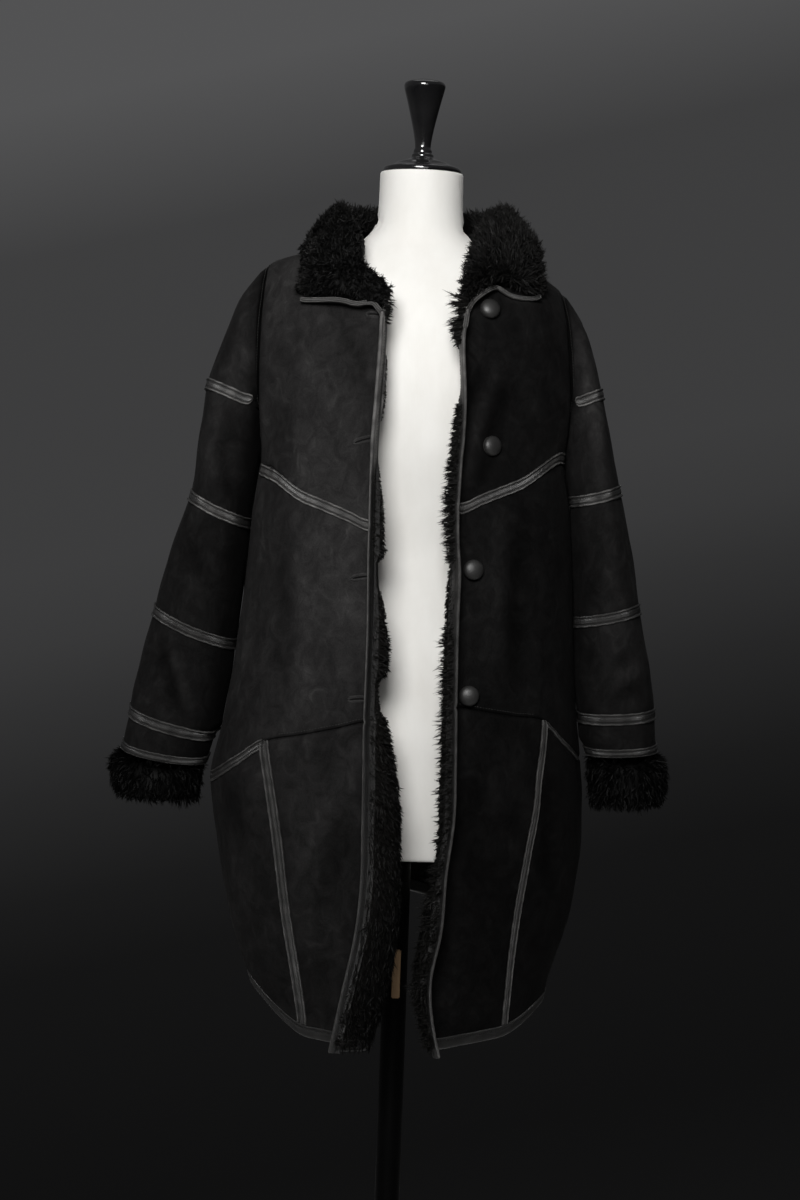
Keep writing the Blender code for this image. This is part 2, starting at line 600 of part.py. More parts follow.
N = vertex_normals()
inner = V - N * wall_thickness()[:, None]
triangles = [t for f in faces for t in triangulate(f)]
skin = BVHTree.FromPolygons([tuple(p) for p in V], triangles)
lining = BVHTree.FromPolygons([tuple(p) for p in inner], triangles)

# ------------------------------------------------------------- materials and mesh output
mats, made = {}, {}


def material(name, colour, roughness):
    mat = bpy.data.materials.new(name)
    mat.use_nodes = True
    bsdf = mat.node_tree.nodes["Principled BSDF"]
    bsdf.inputs["Base Color"].default_value = (*colour, 1)
    bsdf.inputs["Roughness"].default_value = roughness
    return mat


for mname, (colour, roughness) in LOOKS.items():
    mats[mname] = material(mname, colour, roughness)


def emit(name, pts, polys, mat):
    me = bpy.data.meshes.new(name)
    me.from_pydata([tuple(float(c) for c in p) for p in pts], [], [list(f) for f in polys])
    me.validate()
    me.materials.append(mats[mat])
    coll.objects.link(bpy.data.objects.new(name, me))
    made[name] = sum(len(f) - 2 for f in polys)


def border_shifts(fs, edges, border):
    """How far each border point of a cut stands back from its seams."""
    push = {}
    for a, b in border:
        p = V[edges[(a, b)]]
        fn = sum(np.cross(p[c] - p[0], p[c + 1] - p[0]) for c in range(1, len(p) - 1))
        m = unit(np.cross(unit(fn), V[b] - V[a]))
        push.setdefault(a, []).append(m)
        push.setdefault(b, []).append(m)
    shift = {}
    for q, ms in push.items():
        d = np.sum(ms, axis=0)
        along = float(d @ ms[0])
        w = SEAM * d / along if along > 1e-6 else unit(d) * SEAM
        shift[q] = w * min(1, SEAM * 6 / np.linalg.norm(w))     # not far out at a sharp corner
    return shift


def shell(name, fs, mat):
    """Closed wall over the skin faces fs, standing back from every border."""
    ids = sorted({q for f in fs for q in f})
    place = {q: k for k, q in enumerate(ids)}
    edges = {(a, b): f for f in fs for a, b in zip(f, f[1:] + f[:1])}
    border = [(a, b) for (a, b) in edges if (b, a) not in edges]
    shift = border_shifts(fs, edges, border)
    outer = [V[q] + shift.get(q, 0) for q in ids]
    inside = [inner[q] + shift.get(q, 0) for q in ids]
    polys = []
    k = len(ids)
    for f in fs:
        for t in triangulate(f):
            polys.append([place[q] for q in t])
            polys.append([place[q] + k for q in reversed(t)])
    for a, b in border:                              # the diagonal is the same one in the neighbouring cut
        la, lb = place[a], place[b]
        if a < b:
            polys += [[lb, la, lb + k], [la, la + k, lb + k]]
        else:
            polys += [[lb, la, la + k], [lb, la + k, lb + k]]
    emit(name, outer + inside, polys, mat)


for tag in dict.fromkeys(ftag):
    shell(tag, [f for f, t in zip(faces, ftag) if t == tag], "suede")


# ------------------------------------------------------------- strips and bindings
def sample(kind, side, i, j):
    """Skin point, normal and lining point at the real-valued lattice place (i, j)."""
    i0, j0 = math.floor(i + 1e-9), math.floor(j + 1e-9)
    u, v = max(i - i0, 0.0), max(j - j0, 0.0)

    def key(a, b):
        if kind == "S":
            return vid[("S", side, a % NS, b)]
        if kind == "B" and a < 0:
            return vid[("B", "left" if side == "right" else "right", -a, b)]
        return vid[(kind, side, a, b)]

    def along(arr, b):
        a = arr[key(i0, b)]
        return lerp(a, arr[key(i0 + 1, b)], u) if u > 1e-9 else a
    got = [lerp(along(arr, j0), along(arr, j0 + 1), v) if v > 1e-9 else along(arr, j0) for arr in (V, N, inner)]
    return got[0], unit(got[1]), got[2]


def prism(name, sections, mat, closed=False, caps=None):
    """Loft equal point loops; capped unless closed. caps: quads that fill one end, by place in the loop."""
    m, count = len(sections[0]), len(sections)
    pts = [p for s in sections for p in s]
    polys = []
    for a in range(count if closed else count - 1):
        b = (a + 1) % count
        for c in range(m):
            d = (c + 1) % m
            polys.append([a * m + c, a * m + d, b * m + d, b * m + c])
    if not closed:
        for start, back in ((0, True), ((count - 1) * m, False)):
            if m == 4:
                cap = [[start + c for c in range(m)]]
            elif caps:
                cap = [[start + c for c in f] for f in caps]
            else:                                    # fan round a point in the middle
                cap = [[start + c, start + (c + 1) % m, len(pts)] for c in range(m)]
                pts.append(np.mean(pts[start:start + m], axis=0))
            polys += [f[::-1] if back else f for f in cap]
    P = np.array(pts)
    volume = sum(float(P[f[0]] @ np.cross(P[f[c]], P[f[c + 1]])) for f in polys for c in range(1, len(f) - 1))
    emit(name, pts, polys if volume >= 0 else [f[::-1] for f in polys], mat)


def height(tree, p, sign, reach=.02):
    """How far p is off a surface, on its outer (sign 1) or inner side (-1)."""
    loc, nrm, _, _ = tree.find_nearest(Vector(p), reach)
    return 1.0 if loc is None else sign * float((p - np.array(loc)) @ np.array(nrm))


def settle(secs, pairs, tree, sign, closed=False):
    """Lift a strip wherever its flat facets would dip under CLEAR. pairs: (low, high) columns."""
    low_high = dict(pairs)
    for _ in range(8):
        need, worst = {}, 0
        for a in range(len(secs) if closed else len(secs) - 1):
            b = (a + 1) % len(secs)
            for (l0, _), (l1, _) in zip(pairs, pairs[1:]):
                quad = [(a, l0), (a, l1), (b, l1), (b, l0)]
                q = [secs[x][y] for x, y in quad]
                pts = q + [lerp(q[k], q[k - 3], t) for k in range(4) for t in (.2, .5, .8)]
                pts += [(q[0] + q[2]) / 2, (q[1] + q[3]) / 2]
                d = CLEAR - min(height(tree, p, sign) for p in pts)
                if d > 1e-5:
                    worst = max(worst, d)
                    for key in quad:
                        need[key] = max(need.get(key, 0), d)
        if worst < 2e-5:
            break
        for (a, low), d in need.items():
            high = low_high[low]
            up = unit(secs[a][high] - secs[a][low]) * d * .8
            secs[a][low] = secs[a][low] + up
            secs[a][high] = secs[a][high] + up


def reach_across(kind, side, place, across, d, reach):
    """Skin point and normal at a distance from a lattice place, across one or two cells."""
    def step(k):
        return (place[0] + d * k, place[1]) if across == "i" else (place[0], place[1] + d * k)
    p, q = sample(kind, side, *place)[0], sample(kind, side, *step(1))[0]
    t = reach / np.linalg.norm(q - p)
    if t > 1:
        far = sample(kind, side, *step(2))[0]
        t = 1 + min(1, (reach - np.linalg.norm(q - p)) / np.linalg.norm(far - q))
    return sample(kind, side, *step(t))[:2]


def strip(name, kind, side, path, across, width, closed=False, columns=(-1, 0, 1)):
    """Leather strip along path, lattice places; its width runs across "i" or "j", a row for each column."""
    secs = []
    half = width / (columns[-1] - columns[0])
    for place in path:
        row = [reach_across(kind, side, place, across, d, half) if d else sample(kind, side, *place)[:2]
               for d in columns]
        low = [p + n * LIFT for p, n in row]
        high = [p + n * (LIFT + STRIP_T) for p, n in row]
        secs.append(high + low[::-1])
    m = len(columns)
    settle(secs, [(2 * m - 1 - c, c) for c in range(m)], skin, 1, closed)
    prism(name, secs, "leather", closed)


def fold_section(p, q):
    """Binding's section at an edge point p, with q one flange further in: outer loop, then inner loop."""
    (p, n, pin), (q, nq, qin) = p, q
    d = unit(q - p)
    q, nq, qin = lerp(p, q, FLANGE), unit(lerp(n, nq, FLANGE)), lerp(pin, qin, FLANGE)
    out, far, near = LIFT + BIND_T, EDGE_GAP + BIND_T, EDGE_GAP
    return [q + nq * out, p - d * far + n * out, pin - d * far - n * out, qin - nq * out,
            qin - nq * LIFT, pin - d * near - n * LIFT, p - d * near + n * LIFT, q + nq * LIFT]


def fold(name, secs, tail=0):
    """Binding folded over an edge, clear of hide and wool; its first end may hang out by tail."""
    settle(secs, [(7, 0), (6, 1)], skin, 1)
    settle(secs, [(5, 2), (4, 3)], lining, -1)
    if tail:
        d = unit(np.mean(secs[0], axis=0) - np.mean(secs[1], axis=0))
        secs = [[x + d * tail for x in secs[0]]] + secs
    prism(name, secs, "leather", caps=[(0, 1, 6, 7), (1, 2, 5, 6), (2, 3, 4, 5)])


def binding(name, side, path, inward, tail=0):
    """Binding along a free edge of a front."""
    di, dj = inward
    fold(name, [fold_section(sample("F", side, i, j), sample("F", side, i + di, j + dj)) for i, j in path], tail)


def body_leather(side):
    chest, hip = ROW["chest"], ROW["hip"]
    start = 1 + BESIDE_BINDING
    binding("front_binding_" + side, side, [(0, j) for j in range(NR + 1)], (1, 0), TAIL[side])
    strip("chest_band_" + side, "F", side, [(start, chest)] + [(i, chest) for i in range(2, NF)], "j", STRIP_W)
    strip("pocket_mouth_" + side, "F", side,
          [(STRIP_COL - .12, hip)] + [(i, hip) for i in range(STRIP_COL, NF)], "j", POCKET_W)
    strip("pocket_strip_" + side, "F", side,
          [(STRIP_COL, j) for j in (1.012, *np.arange(1.5, hip, .5), hip - .14)], "i", STRIP_W)
    binding("hem_binding_" + side, side, [(i, 0) for i in (start, *range(2, NF), NF - .01)], (0, 1))


def sleeve_leather(side):
    half_way = [-5.55] + list(range(-5, 6)) + [5.55]       # the first band ends at the armhole
    strip("sleeve_band_1_" + side, "S", side, [(i, S_ROW["band1"]) for i in half_way], "j", STRIP_W)
    for k in (2, 3, 4):
        strip(f"sleeve_band_{k}_{side}", "S", side, [(i, S_ROW[f"band{k}"]) for i in range(NS)], "j", STRIP_W,
              closed=True, columns=(-1, 1))
    strip("cuff_trim_" + side, "S", side, [(i, S_ROW["trim"]) for i in range(NS)], "j", STRIP_W, closed=True,
          columns=(-1, 0))


for side in SGN:
    body_leather(side)
    sleeve_leather(side)
across_back = [("left", i) for i in [NB - .01, *range(NB - 1, -1, -1)]] \
    + [("right", i) for i in [*range(1, NB), NB - .01]]
fold("hem_binding_back",
     [fold_section(sample("B", side, i, 0), sample("B", side, i, 1)) for side, i in across_back])


# ------------------------------------------------------------- fur cuffs
def cuff_loop(side, i, ring_at):
    """Section of a fur cuff on column i: out over the pile, round the end and back up inside."""
    phi = ring_angle(i)
    q, above = vid[("S", side, i, NSR)], vid[("S", side, i, NSR - 1)]
    fall = unit(V[q] - V[above]) * (SEAM * 6)
    lean = .5 * (1 + math.tanh((-math.cos(phi) - .35) * 5))      # 1 on the side against the coat
    up = unit(ring_point(side, ring_at(3.0), phi) - ring_point(side, ring_at(3.9), phi))
    loop = [V[q] + fall + N[q] * .0003]
    for t, off in CUFF:
        ring = ring_at(3 + min(t, 1))
        p = ring_point(side, ring, phi)
        n = unit(np.cross(ring_point(side, ring, phi + .05) - ring_point(side, ring, phi - .05), up))
        if n @ (p - (ring_point(side, ring, 0) + ring_point(side, ring, math.pi)) / 2) < 0:
            n = -n
        if off > .004:
            uneven = 1 + .10 * math.sin(3 * phi + 5 * t + (0 if side == "left" else 2))
            off = off * uneven * (1 - .88 * lean)
        loop.append(p + n * off - up * max(0, t - 1) * .06)
    return loop + [inner[q] + fall]


for side in SGN:
    ring_at = pchip([(q, *r[1:]) for q, r in enumerate(RINGS[side])])
    prism("fur_cuff_" + side, [cuff_loop(side, i, ring_at) for i in range(NS)], "fur", closed=True)

# ------------------------------------------------------------- collar
def on_skin(p, gap=0.0, reach=.08):
    """Nearest place on the coat's outer skin, and its normal, raised by gap."""
    loc, nrm, _, _ = skin.find_nearest(Vector(p), reach)
    return np.array(loc) + np.array(nrm) * gap, np.array(nrm)


def collar_stations():
    """The collar's table as one curve from the left corner round the back to the right corner."""
    rows = COLLAR["left"] + [COLLAR_BACK] + COLLAR["right"][::-1]
    return pchip([(t, *row) for t, row in enumerate(rows)]), len(rows) - 1


def neck_foot():
    """Neck edge from left front to right front: skin, lining, normal, way out of the edge; twice as fine."""
    keys = [("F", "left", i) for i in range(ROLL_COL, NF)] + [("B", "left", i) for i in range(NB, -1, -1)]
    keys += [("B", "right", i) for i in range(1, NB + 1)]
    keys += [("F", "right", i) for i in range(NF - 1, ROLL_COL - 1, -1)]
    top = [vid[(*k, NR)] for k in keys]
    foot = []
    for c, key in enumerate(keys):
        q, below = top[c], vid[(*key, NR - 1)]
        along = unit(V[top[min(c + 1, len(top) - 1)]] - V[top[max(c - 1, 0)]])
        away = unit(np.cross(N[q], along))
        if away @ (V[q] - V[below] - np.array([.3 * V[q][0], 0, 0])) < 0:
            away = -away
        foot.append((V[q], inner[q], N[q], away))
    fine = [foot[0]]
    for a, b in zip(foot, foot[1:]):
        fine += [tuple((x + y) / 2 for x, y in zip(a, b)), b]
    return fine


def lengths(points):
    return np.concatenate([[0], np.cumsum([np.linalg.norm(b - a) for a, b in zip(points, points[1:])])])


def matched(foot_len, crest_len, fine):
    """Stations of the crest that match the foot's places, each half by its own share of length."""
    mid, half = len(foot_len) // 2, len(crest_len) // 2
    for q, s in enumerate(foot_len):
        if q <= mid:
            want = crest_len[half] * s / foot_len[mid]
        else:
            want = crest_len[half] + (crest_len[-1] - crest_len[half]) * (s - foot_len[mid]) \
                / (foot_len[-1] - foot_len[mid])
        yield float(np.interp(want, crest_len, fine))


def collar_section(station, t, t_end, foot):
    """Crest, padded leaf, rim on the coat, underside back to the neck seam, stand up inside."""
    f_out, f_in, f_n, f_up = foot
    row = station(t)
    crest, leaf, th = row[:3], row[3:6], row[6]
    along = unit(station(min(t + .25, t_end))[:3] - station(max(t - .25, 0))[:3])
    down = unit(leaf - crest)
    out = unit(np.cross(down, along))
    if out @ (crest * np.array([1, 1, 0])) < 0:
        out = -out
    length = np.linalg.norm(leaf - crest)
    puff = th * .36
    base = on_skin(leaf)[0]
    hit, _, _, _ = skin.ray_cast(Vector((leaf[0], -.6, leaf[2])), Vector((0, 1, 0)))
    if hit is not None and hit[1] < -.03:                # at the front the rim lies where the eye sees it
        base = lerp(base, np.array(hit), min(max((-.055 - leaf[1]) / .03, 0), 1))
    nrm = on_skin(base, reach=.05)[1]
    low = base + nrm * .0026
    rim = low + unit(nrm * np.array([1, 1, .15])) * min(th * .45, .010) - np.array([0, 0, .002])
    seam = f_out + f_up * .0006 + f_n * .0003
    sec = [crest + out * th * .20 - down * .001,
           crest + down * length * .17 + out * (puff + th * .14),
           crest + down * length * .45 + out * (puff + th * .22),
           lerp(crest + down * length * .76 + out * (puff + th * .04), rim + (rim - low), .35),
           rim, low]
    sec += [on_skin(lerp(low, seam, k), gap)[0] for k, gap in ((.33, .0022), (.66, .0018), (.90, .0012))]
    sec += [seam, f_in + f_up * .0006, lerp(f_in, crest, .5) - out * th * .10]
    sec.append(crest - out * th * .36 + down * .004)
    return sec, low, down


def clearance(p):
    loc, nrm, _, dist = skin.find_nearest(Vector(p), .05)
    if loc is None:
        return 1.0, np.zeros(3)
    inside = float((p - np.array(loc)) @ np.array(nrm)) <= -.25 * dist
    return -dist if inside else dist, np.array(nrm)


def lift_underside(secs):
    """Raise the collar's flat facets off the shoulders, rows 3 to 8 of its section."""
    for _ in range(20):
        need = {}
        for a in range(len(secs) - 1):
            for c in range(3, 9):
                quad = [(a, c), (a, c + 1), (a + 1, c + 1), (a + 1, c)]
                P = [secs[x][y] for x, y in quad]
                spots = [lerp(lerp(P[0], P[1], u), lerp(P[3], P[2], u), v) for u in (0, .25, .5, .75, 1)
                         for v in (0, .25, .5, .75, 1)]
                spots += [lerp(P[d], P[d + 2], u) for d in (0, 1) for u in (.2, .4, .6, .8)]
                want = .0015 if c < 8 else .0004
                for p in spots:
                    h, nrm = clearance(p)
                    if h < want:
                        for key in quad:
                            if key[1] < 9 and (key not in need or want - h > need[key][0]):
                                need[key] = (want - h, nrm)
        if not need:
            break
        for (a, c), (d, nrm) in need.items():
            secs[a][c] = secs[a][c] + nrm * min(d, .003)


def collar():
    """Fur collar; returns the line of its outer rim with the way down the leaf."""
    station, t_end = collar_stations()
    fine = np.linspace(0, t_end, 361)
    crest_len = lengths([station(t)[:3] for t in fine])
    foot = neck_foot()
    secs, rim_line = [], []
    for t, place in zip(matched(lengths([f[0] for f in foot]), crest_len, fine), foot):
        sec, low, down = collar_section(station, t, t_end, place)
        secs.append(sec)
        rim_line.append((low, down))
    lift_underside(secs)
    prism("collar", secs, "fur")
    return rim_line


def collar_binding(side, rim):
    """Narrow leather edge below the collar's front part, on the hide."""
    rows = []
    for k, (low, down) in enumerate(rim):
        along = unit(rim[min(k + 1, len(rim) - 1)][0] - rim[max(k - 1, 0)][0])
        base = on_skin(low)[0]
        nrm = on_skin(base, reach=.05)[1]
        w = unit(np.cross(nrm, along))
        if w @ down < 0:
            w = -w
        p0, p1 = on_skin(base - w * .0010)[0], on_skin(base + w * .0062)[0]
        high = LIFT + STRIP_T
        rows.append([p0 + nrm * high, p1 + nrm * high, p1 + nrm * LIFT, p0 + nrm * LIFT])
    settle(rows, [(3, 0), (2, 1)], skin, 1)
    prism("collar_binding_" + side, rows, "leather")


rim_line = collar()
collar_binding("left", rim_line[2:12])
collar_binding("right", rim_line[-3:-13:-1])


# ------------------------------------------------------------- turned pieces
def turned(name, profile, mat, seg, origin=(0, 0, 0), axis=(0, 0, 1)):
    """Lathe of (radius, height) rows round an axis."""
    o, ax = np.array(origin, float), unit(np.array(axis, float))
    e1 = unit(np.cross([1.0, 0, 0], ax))
    e2 = np.cross(ax, e1)
    pts = []
    for r, z in profile:
        for k in range(seg):
            t = 2 * math.pi * k / seg
            pts.append(o + ax * z + e1 * r * math.cos(t) + e2 * r * math.sin(t))
    polys = [[a * seg + k, a * seg + (k + 1) % seg, (a + 1) * seg + (k + 1) % seg, (a + 1) * seg + k]
             for a in range(len(profile) - 1) for k in range(seg)]
    polys.append(list(range(seg))[::-1])
    polys.append([(len(profile) - 1) * seg + k for k in range(seg)])
    emit(name, pts, polys, mat)


def buttons():
    """Domed leather buttons on the right front, square to the hide below them."""
    cuts = ("front_yoke_right", "front_middle_right")
    under = [t for f, g in zip(faces, ftag) if g in cuts for t in triangulate(f)]
    front_right = BVHTree.FromPolygons([tuple(p) for p in V], under)
    for k, (x, z) in enumerate(BUTTONS):
        hit, nrm, _, _ = front_right.ray_cast(Vector((x, -.6, z)), Vector((0, 1, 0)))
        nrm = np.array(nrm)
        if nrm[1] > 0:
            nrm = -nrm
        turned(f"button_{k + 1}", BUTTON, "leather", 14, np.array(hit) + nrm * .0009, nrm)


buttons()


# ------------------------------------------------------------- dress form and stand
def form_point(z, t):
    """Point of the form's section at height z and angle t, kept inside the coat's lining."""
    a, front, back, box = form_at(z)
    c, s = math.cos(t), math.sin(t)
    x = a * math.copysign(abs(c) ** (2 / box), c)
    y = (back if s > 0 else front) * math.copysign(abs(s) ** (2 / box), s)
    p = np.array([x, y, z])
    for _ in range(3):
        loc, nrm, _, _ = lining.find_nearest(Vector(p), .03)
        if loc is None:
            break
        h = float((p - np.array(loc)) @ np.array(nrm))
        if h > -FORM_CLEAR:
            p = p - np.array(nrm) * (h + FORM_CLEAR)
    return p


def draw_in(secs):
    """Keep the shoulders' flat facets off the lining too."""
    for _ in range(6):
        for a in range(len(secs) - 1):
            if FORM_LEVELS[a] < 1.24:
                continue
            for c in range(FORM_SEG):
                d = (c + 1) % FORM_SEG
                quad = [(a, c), (a, d), (a + 1, d), (a + 1, c)]
                P = [secs[x][y] for x, y in quad]
                spots = [lerp(P[k], P[(k + 1) % 4], .5) for k in range(4)]
                spots += [lerp(P[k], P[k + 2], u) for k in (0, 1) for u in (.3, .5, .7)]
                for p in spots:
                    loc, nrm, _, _ = lining.find_nearest(Vector(p), .03)
                    h = -1.0 if loc is None else float((p - np.array(loc)) @ np.array(nrm))
                    if h > -.0005:
                        for x, y in quad:
                            secs[x][y] = secs[x][y] - np.array(nrm) * (h + .0006) * .6


def dress_form():
    secs = [[form_point(z, 2 * math.pi * k / FORM_SEG) for k in range(FORM_SEG)] for z in FORM_LEVELS]
    draw_in(secs)
    for row, z in ((0, FORM_LEVELS[0]), (-1, FORM_LEVELS[-1])):
        secs[row] = [np.array([p[0], p[1], z]) for p in secs[row]]
    prism("form_torso", secs, "form")


form_at = pchip(FORM)
dress_form()
turned("form_finial", FINIAL, "lacquer", 20)
turned("stand_pole", [(POLE_R, .0334), (POLE_R, POLE_TOP)], "metal", 20)
turned("stand_base", BASE, "metal", 32)
(px0, py0), (px1, py1) = PEG
prism("stand_peg", [[np.array([x, y, z]) for x, y in ((px0, py0), (px1, py0), (px1, py1), (px0, py1))]
                    for z in PEG_Z], "peg")
print("nodes", len(made), "triangles", sum(made.values()))
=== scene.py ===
"""Looks of the shearling coat on its dress form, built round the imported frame. Metres, +Z up.

The coat's skin is worked out on the same lattice as the CAD, then refined, creased and cut along
its seams into one piece per CAD node. left = the half at -X, right = the half at +X.
"""
import json
import math

import bmesh
import bpy
import numpy as np
from mathutils import Matrix, Vector
from mathutils.bvhtree import BVHTree

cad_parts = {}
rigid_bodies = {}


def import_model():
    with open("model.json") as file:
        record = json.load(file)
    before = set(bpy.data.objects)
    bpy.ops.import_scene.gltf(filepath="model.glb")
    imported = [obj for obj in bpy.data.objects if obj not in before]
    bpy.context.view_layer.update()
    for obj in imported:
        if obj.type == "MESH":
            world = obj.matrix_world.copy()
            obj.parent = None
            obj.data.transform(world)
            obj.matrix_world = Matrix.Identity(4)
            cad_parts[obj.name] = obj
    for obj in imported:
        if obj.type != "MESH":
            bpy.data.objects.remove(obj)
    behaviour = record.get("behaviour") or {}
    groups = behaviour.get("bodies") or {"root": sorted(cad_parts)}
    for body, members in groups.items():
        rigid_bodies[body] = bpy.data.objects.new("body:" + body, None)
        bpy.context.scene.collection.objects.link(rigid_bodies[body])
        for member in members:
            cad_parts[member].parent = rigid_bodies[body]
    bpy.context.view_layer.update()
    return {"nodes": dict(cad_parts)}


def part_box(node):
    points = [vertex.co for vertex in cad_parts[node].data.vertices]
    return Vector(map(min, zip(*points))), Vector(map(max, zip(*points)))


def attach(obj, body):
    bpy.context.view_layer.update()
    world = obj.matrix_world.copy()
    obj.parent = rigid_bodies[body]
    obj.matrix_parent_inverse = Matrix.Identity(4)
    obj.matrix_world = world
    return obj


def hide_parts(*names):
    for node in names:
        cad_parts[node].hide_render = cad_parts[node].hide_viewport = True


for o in list(bpy.data.objects):
    bpy.data.objects.remove(o, do_unlink=True)
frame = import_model()
scene = bpy.context.scene
cad = frame["nodes"]

# ------------------------------------------------------------- camera, light, world
ROLL = math.radians(1.95)
cam_data = bpy.data.cameras.new("camera")
cam_data.sensor_fit = "AUTO"
cam_data.sensor_width = 36
cam_data.lens = 112.5
cam_data.clip_start, cam_data.clip_end = .1, 60
cam = bpy.data.objects.new("camera", cam_data)
scene.collection.objects.link(cam)
back, up = Vector((0, -1, 0)), Vector((-math.sin(ROLL), 0, math.cos(ROLL)))
right = up.cross(back)
cam.matrix_world = Matrix(((right[0], up[0], back[0], -.008288), (right[1], up[1], back[1], -4.2),
                           (right[2], up[2], back[2], .996), (0, 0, 0, 1)))
scene.camera = cam


def area_light(name, at, to, size, power, colour=(1, 1, 1), spread=180):
    d = bpy.data.lights.new(name, "AREA")
    d.shape, d.size, d.size_y, d.energy, d.color = "RECTANGLE", size[0], size[1], power, colour
    d.spread = math.radians(spread)
    o = bpy.data.objects.new(name, d)
    scene.collection.objects.link(o)
    o.location = at
    o.rotation_mode = "QUATERNION"
    o.rotation_quaternion = (Vector(to) - Vector(at)).to_track_quat("-Z", "Y")
    o.visible_camera = False
    return o


area_light("key", (-.42, -2.85, 2.25), (-.10, -.05, 1.38), (1.15, 1.0), 9.0, (1, .995, .985), 50)
area_light("front", (.30, -3.2, 1.75), (-.05, 0, 1.25), (1.3, 1.0), 1.8, (1, 1, 1), 90)
area_light("top", (.1, .5, 3.2), (0, 0, 1.2), (1.6, 1.4), 4)
for name, x, power in (("back_left", -.7, 19), ("back_right", .8, 15)):
    lamp = area_light(name, (x, 3.2, 2.0), (0, 0, 1.0), (1.2, 1.8), power, (1, 1, 1), 90)
    lamp.visible_glossy = False                      # so the leather's edges don't glint from behind


def studio_world():
    """A dim surround, lighter above and to the left, dark toward the floor."""
    world = bpy.data.worlds.new("studio")
    world.use_nodes = True
    tree = world.node_tree
    coord = tree.nodes.new("ShaderNodeTexCoord")
    split = tree.nodes.new("ShaderNodeSeparateXYZ")
    tree.links.new(coord.outputs["Generated"], split.inputs[0])
    lean = tree.nodes.new("ShaderNodeMath")
    lean.operation = "MULTIPLY_ADD"
    tree.links.new(split.outputs["X"], lean.inputs[0])
    lean.inputs[1].default_value = -.25
    tree.links.new(split.outputs["Z"], lean.inputs[2])
    place = tree.nodes.new("ShaderNodeMapRange")
    tree.links.new(lean.outputs[0], place.inputs["Value"])
    place.inputs["From Min"].default_value = -.2
    place.inputs["From Max"].default_value = .2
    ramp = tree.nodes.new("ShaderNodeValToRGB")
    tree.links.new(place.outputs[0], ramp.inputs["Fac"])
    stops = ((.0, .0065), (.135, .0052), (.18, .0056), (.30, .0072), (.35, .0105), (.42, .0195), (.48, .0300),
             (.52, .0390), (.57, .0455), (.78, .048), (.88, .085))
    el = ramp.color_ramp.elements
    while len(el) < len(stops):
        el.new(.5)
    for e, (at, c) in zip(el, stops):
        e.position, e.color = at, (c, c, c * 1.02, 1)
    tree.links.new(ramp.outputs["Color"], tree.nodes["Background"].inputs[0])
    return world


scene.world = studio_world()
scene.view_settings.view_transform = "Standard"

# ------------------------------------------------------------- named sizes
WALL = 0.0100        # hide 1.2 mm with the clipped wool on its inside
WALL_BOUND = 0.0035  # the same wall where a binding holds the wool flat
WALL_NECK, WALL_NEAR_NECK = .0070, .0085
WALL_ARM, WALL_NEAR_ARM, WALL_NEAR_UNDERARM = .0065, .0075, .0070
SEAM = 0.00015       # each cut stands back this far from its seam line
STRIP_W = 0.0126     # leather strip over a seam
POCKET_W = 0.0125    # wide strip at a pocket mouth
BIND_W = 0.0110      # each flange of the folded binding
TAIL = {"left": 0.0045, "right": 0.0090}   # the front bindings hang out below the hem
NF, NB, NS = 12, 7, 20          # columns: front half, back half, round a sleeve
ROLL_COL = 5                    # column where the front edge starts to turn out
STRIP_COL = 8                   # column of the strip below the pocket point
ROLL_R, ROLL_R_GROWS = .0088, .09   # radius of the turned edge, and its growth with the width turned out
ROLL_FLAT = .0115               # least straight length after the turn

# ------------------------------------------------------------- tables
# z, half width of the body
HALF = {
    "left": [(.500, .146), (.543, .152), (.570, .160), (.602, .171), (.647, .186), (.703, .200),
         (.752, .2085), (.795, .2135), (.835, .2050), (.885, .1955), (.950, .187), (1.040, .181),
         (1.090, .1775), (1.148, .171), (1.210, .174), (1.290, .175), (1.340, .173), (1.368, .169),
         (1.3795, .133), (1.392, .100), (1.401, .083), (1.408, .072)],
    "right": [(.500, .155), (.540, .163), (.568, .170), (.602, .1787), (.647, .1906), (.703, .2000),
         (.752, .2035), (.792, .2025), (.835, .198), (.885, .1925), (.950, .186), (1.040, .180),
         (1.090, .178), (1.148, .170), (1.220, .1755), (1.289, .171), (1.325, .166), (1.349, .159),
         (1.361, .1395), (1.378, .105), (1.391, .084), (1.400, .072)]}
DEPTH = [  # z, front, back, boxiness
    (.500, .128, .122, 2.2), (.543, .133, .128, 2.2), (.602, .143, .138, 2.25), (.647, .151, .146, 2.3),
    (.703, .158, .153, 2.35), (.795, .164, .160, 2.4), (.885, .159, .156, 2.4), (.950, .157, .153, 2.4),
    (1.040, .155, .149, 2.35), (1.148, .152, .147, 2.3), (1.210, .149, .146, 2.3), (1.290, .137, .139, 2.2),
    (1.320, .127, .131, 2.2), (1.349, .112, .118, 2.15), (1.368, .099, .106, 2.1), (1.380, .085, .093, 2.0),
    (1.392, .070, .079, 2.0), (1.400, .058, .067, 2.0), (1.408, .045, .054, 2.0)]
# armhole from shoulder point to underarm: z left, z right, y front, y back
ARM = [(1.368, 1.349, .000, .000), (1.360, 1.342, -.018, .022), (1.342, 1.328, -.032, .038),
       (1.316, 1.307, -.042, .050), (1.284, 1.280, -.047, .056), (1.248, 1.250, -.048, .058),
       (1.210, 1.220, -.045, .055), (1.180, 1.186, -.037, .046), (1.162, 1.165, -.027, .034),
       (1.152, 1.153, -.014, .018), (1.148, 1.148, .000, .000)]
OPENER = [(1.140, 0), (1.148, 0), (1.185, .018), (1.325, .018), (1.349, .008), (1.372, 0), (1.420, 0)]
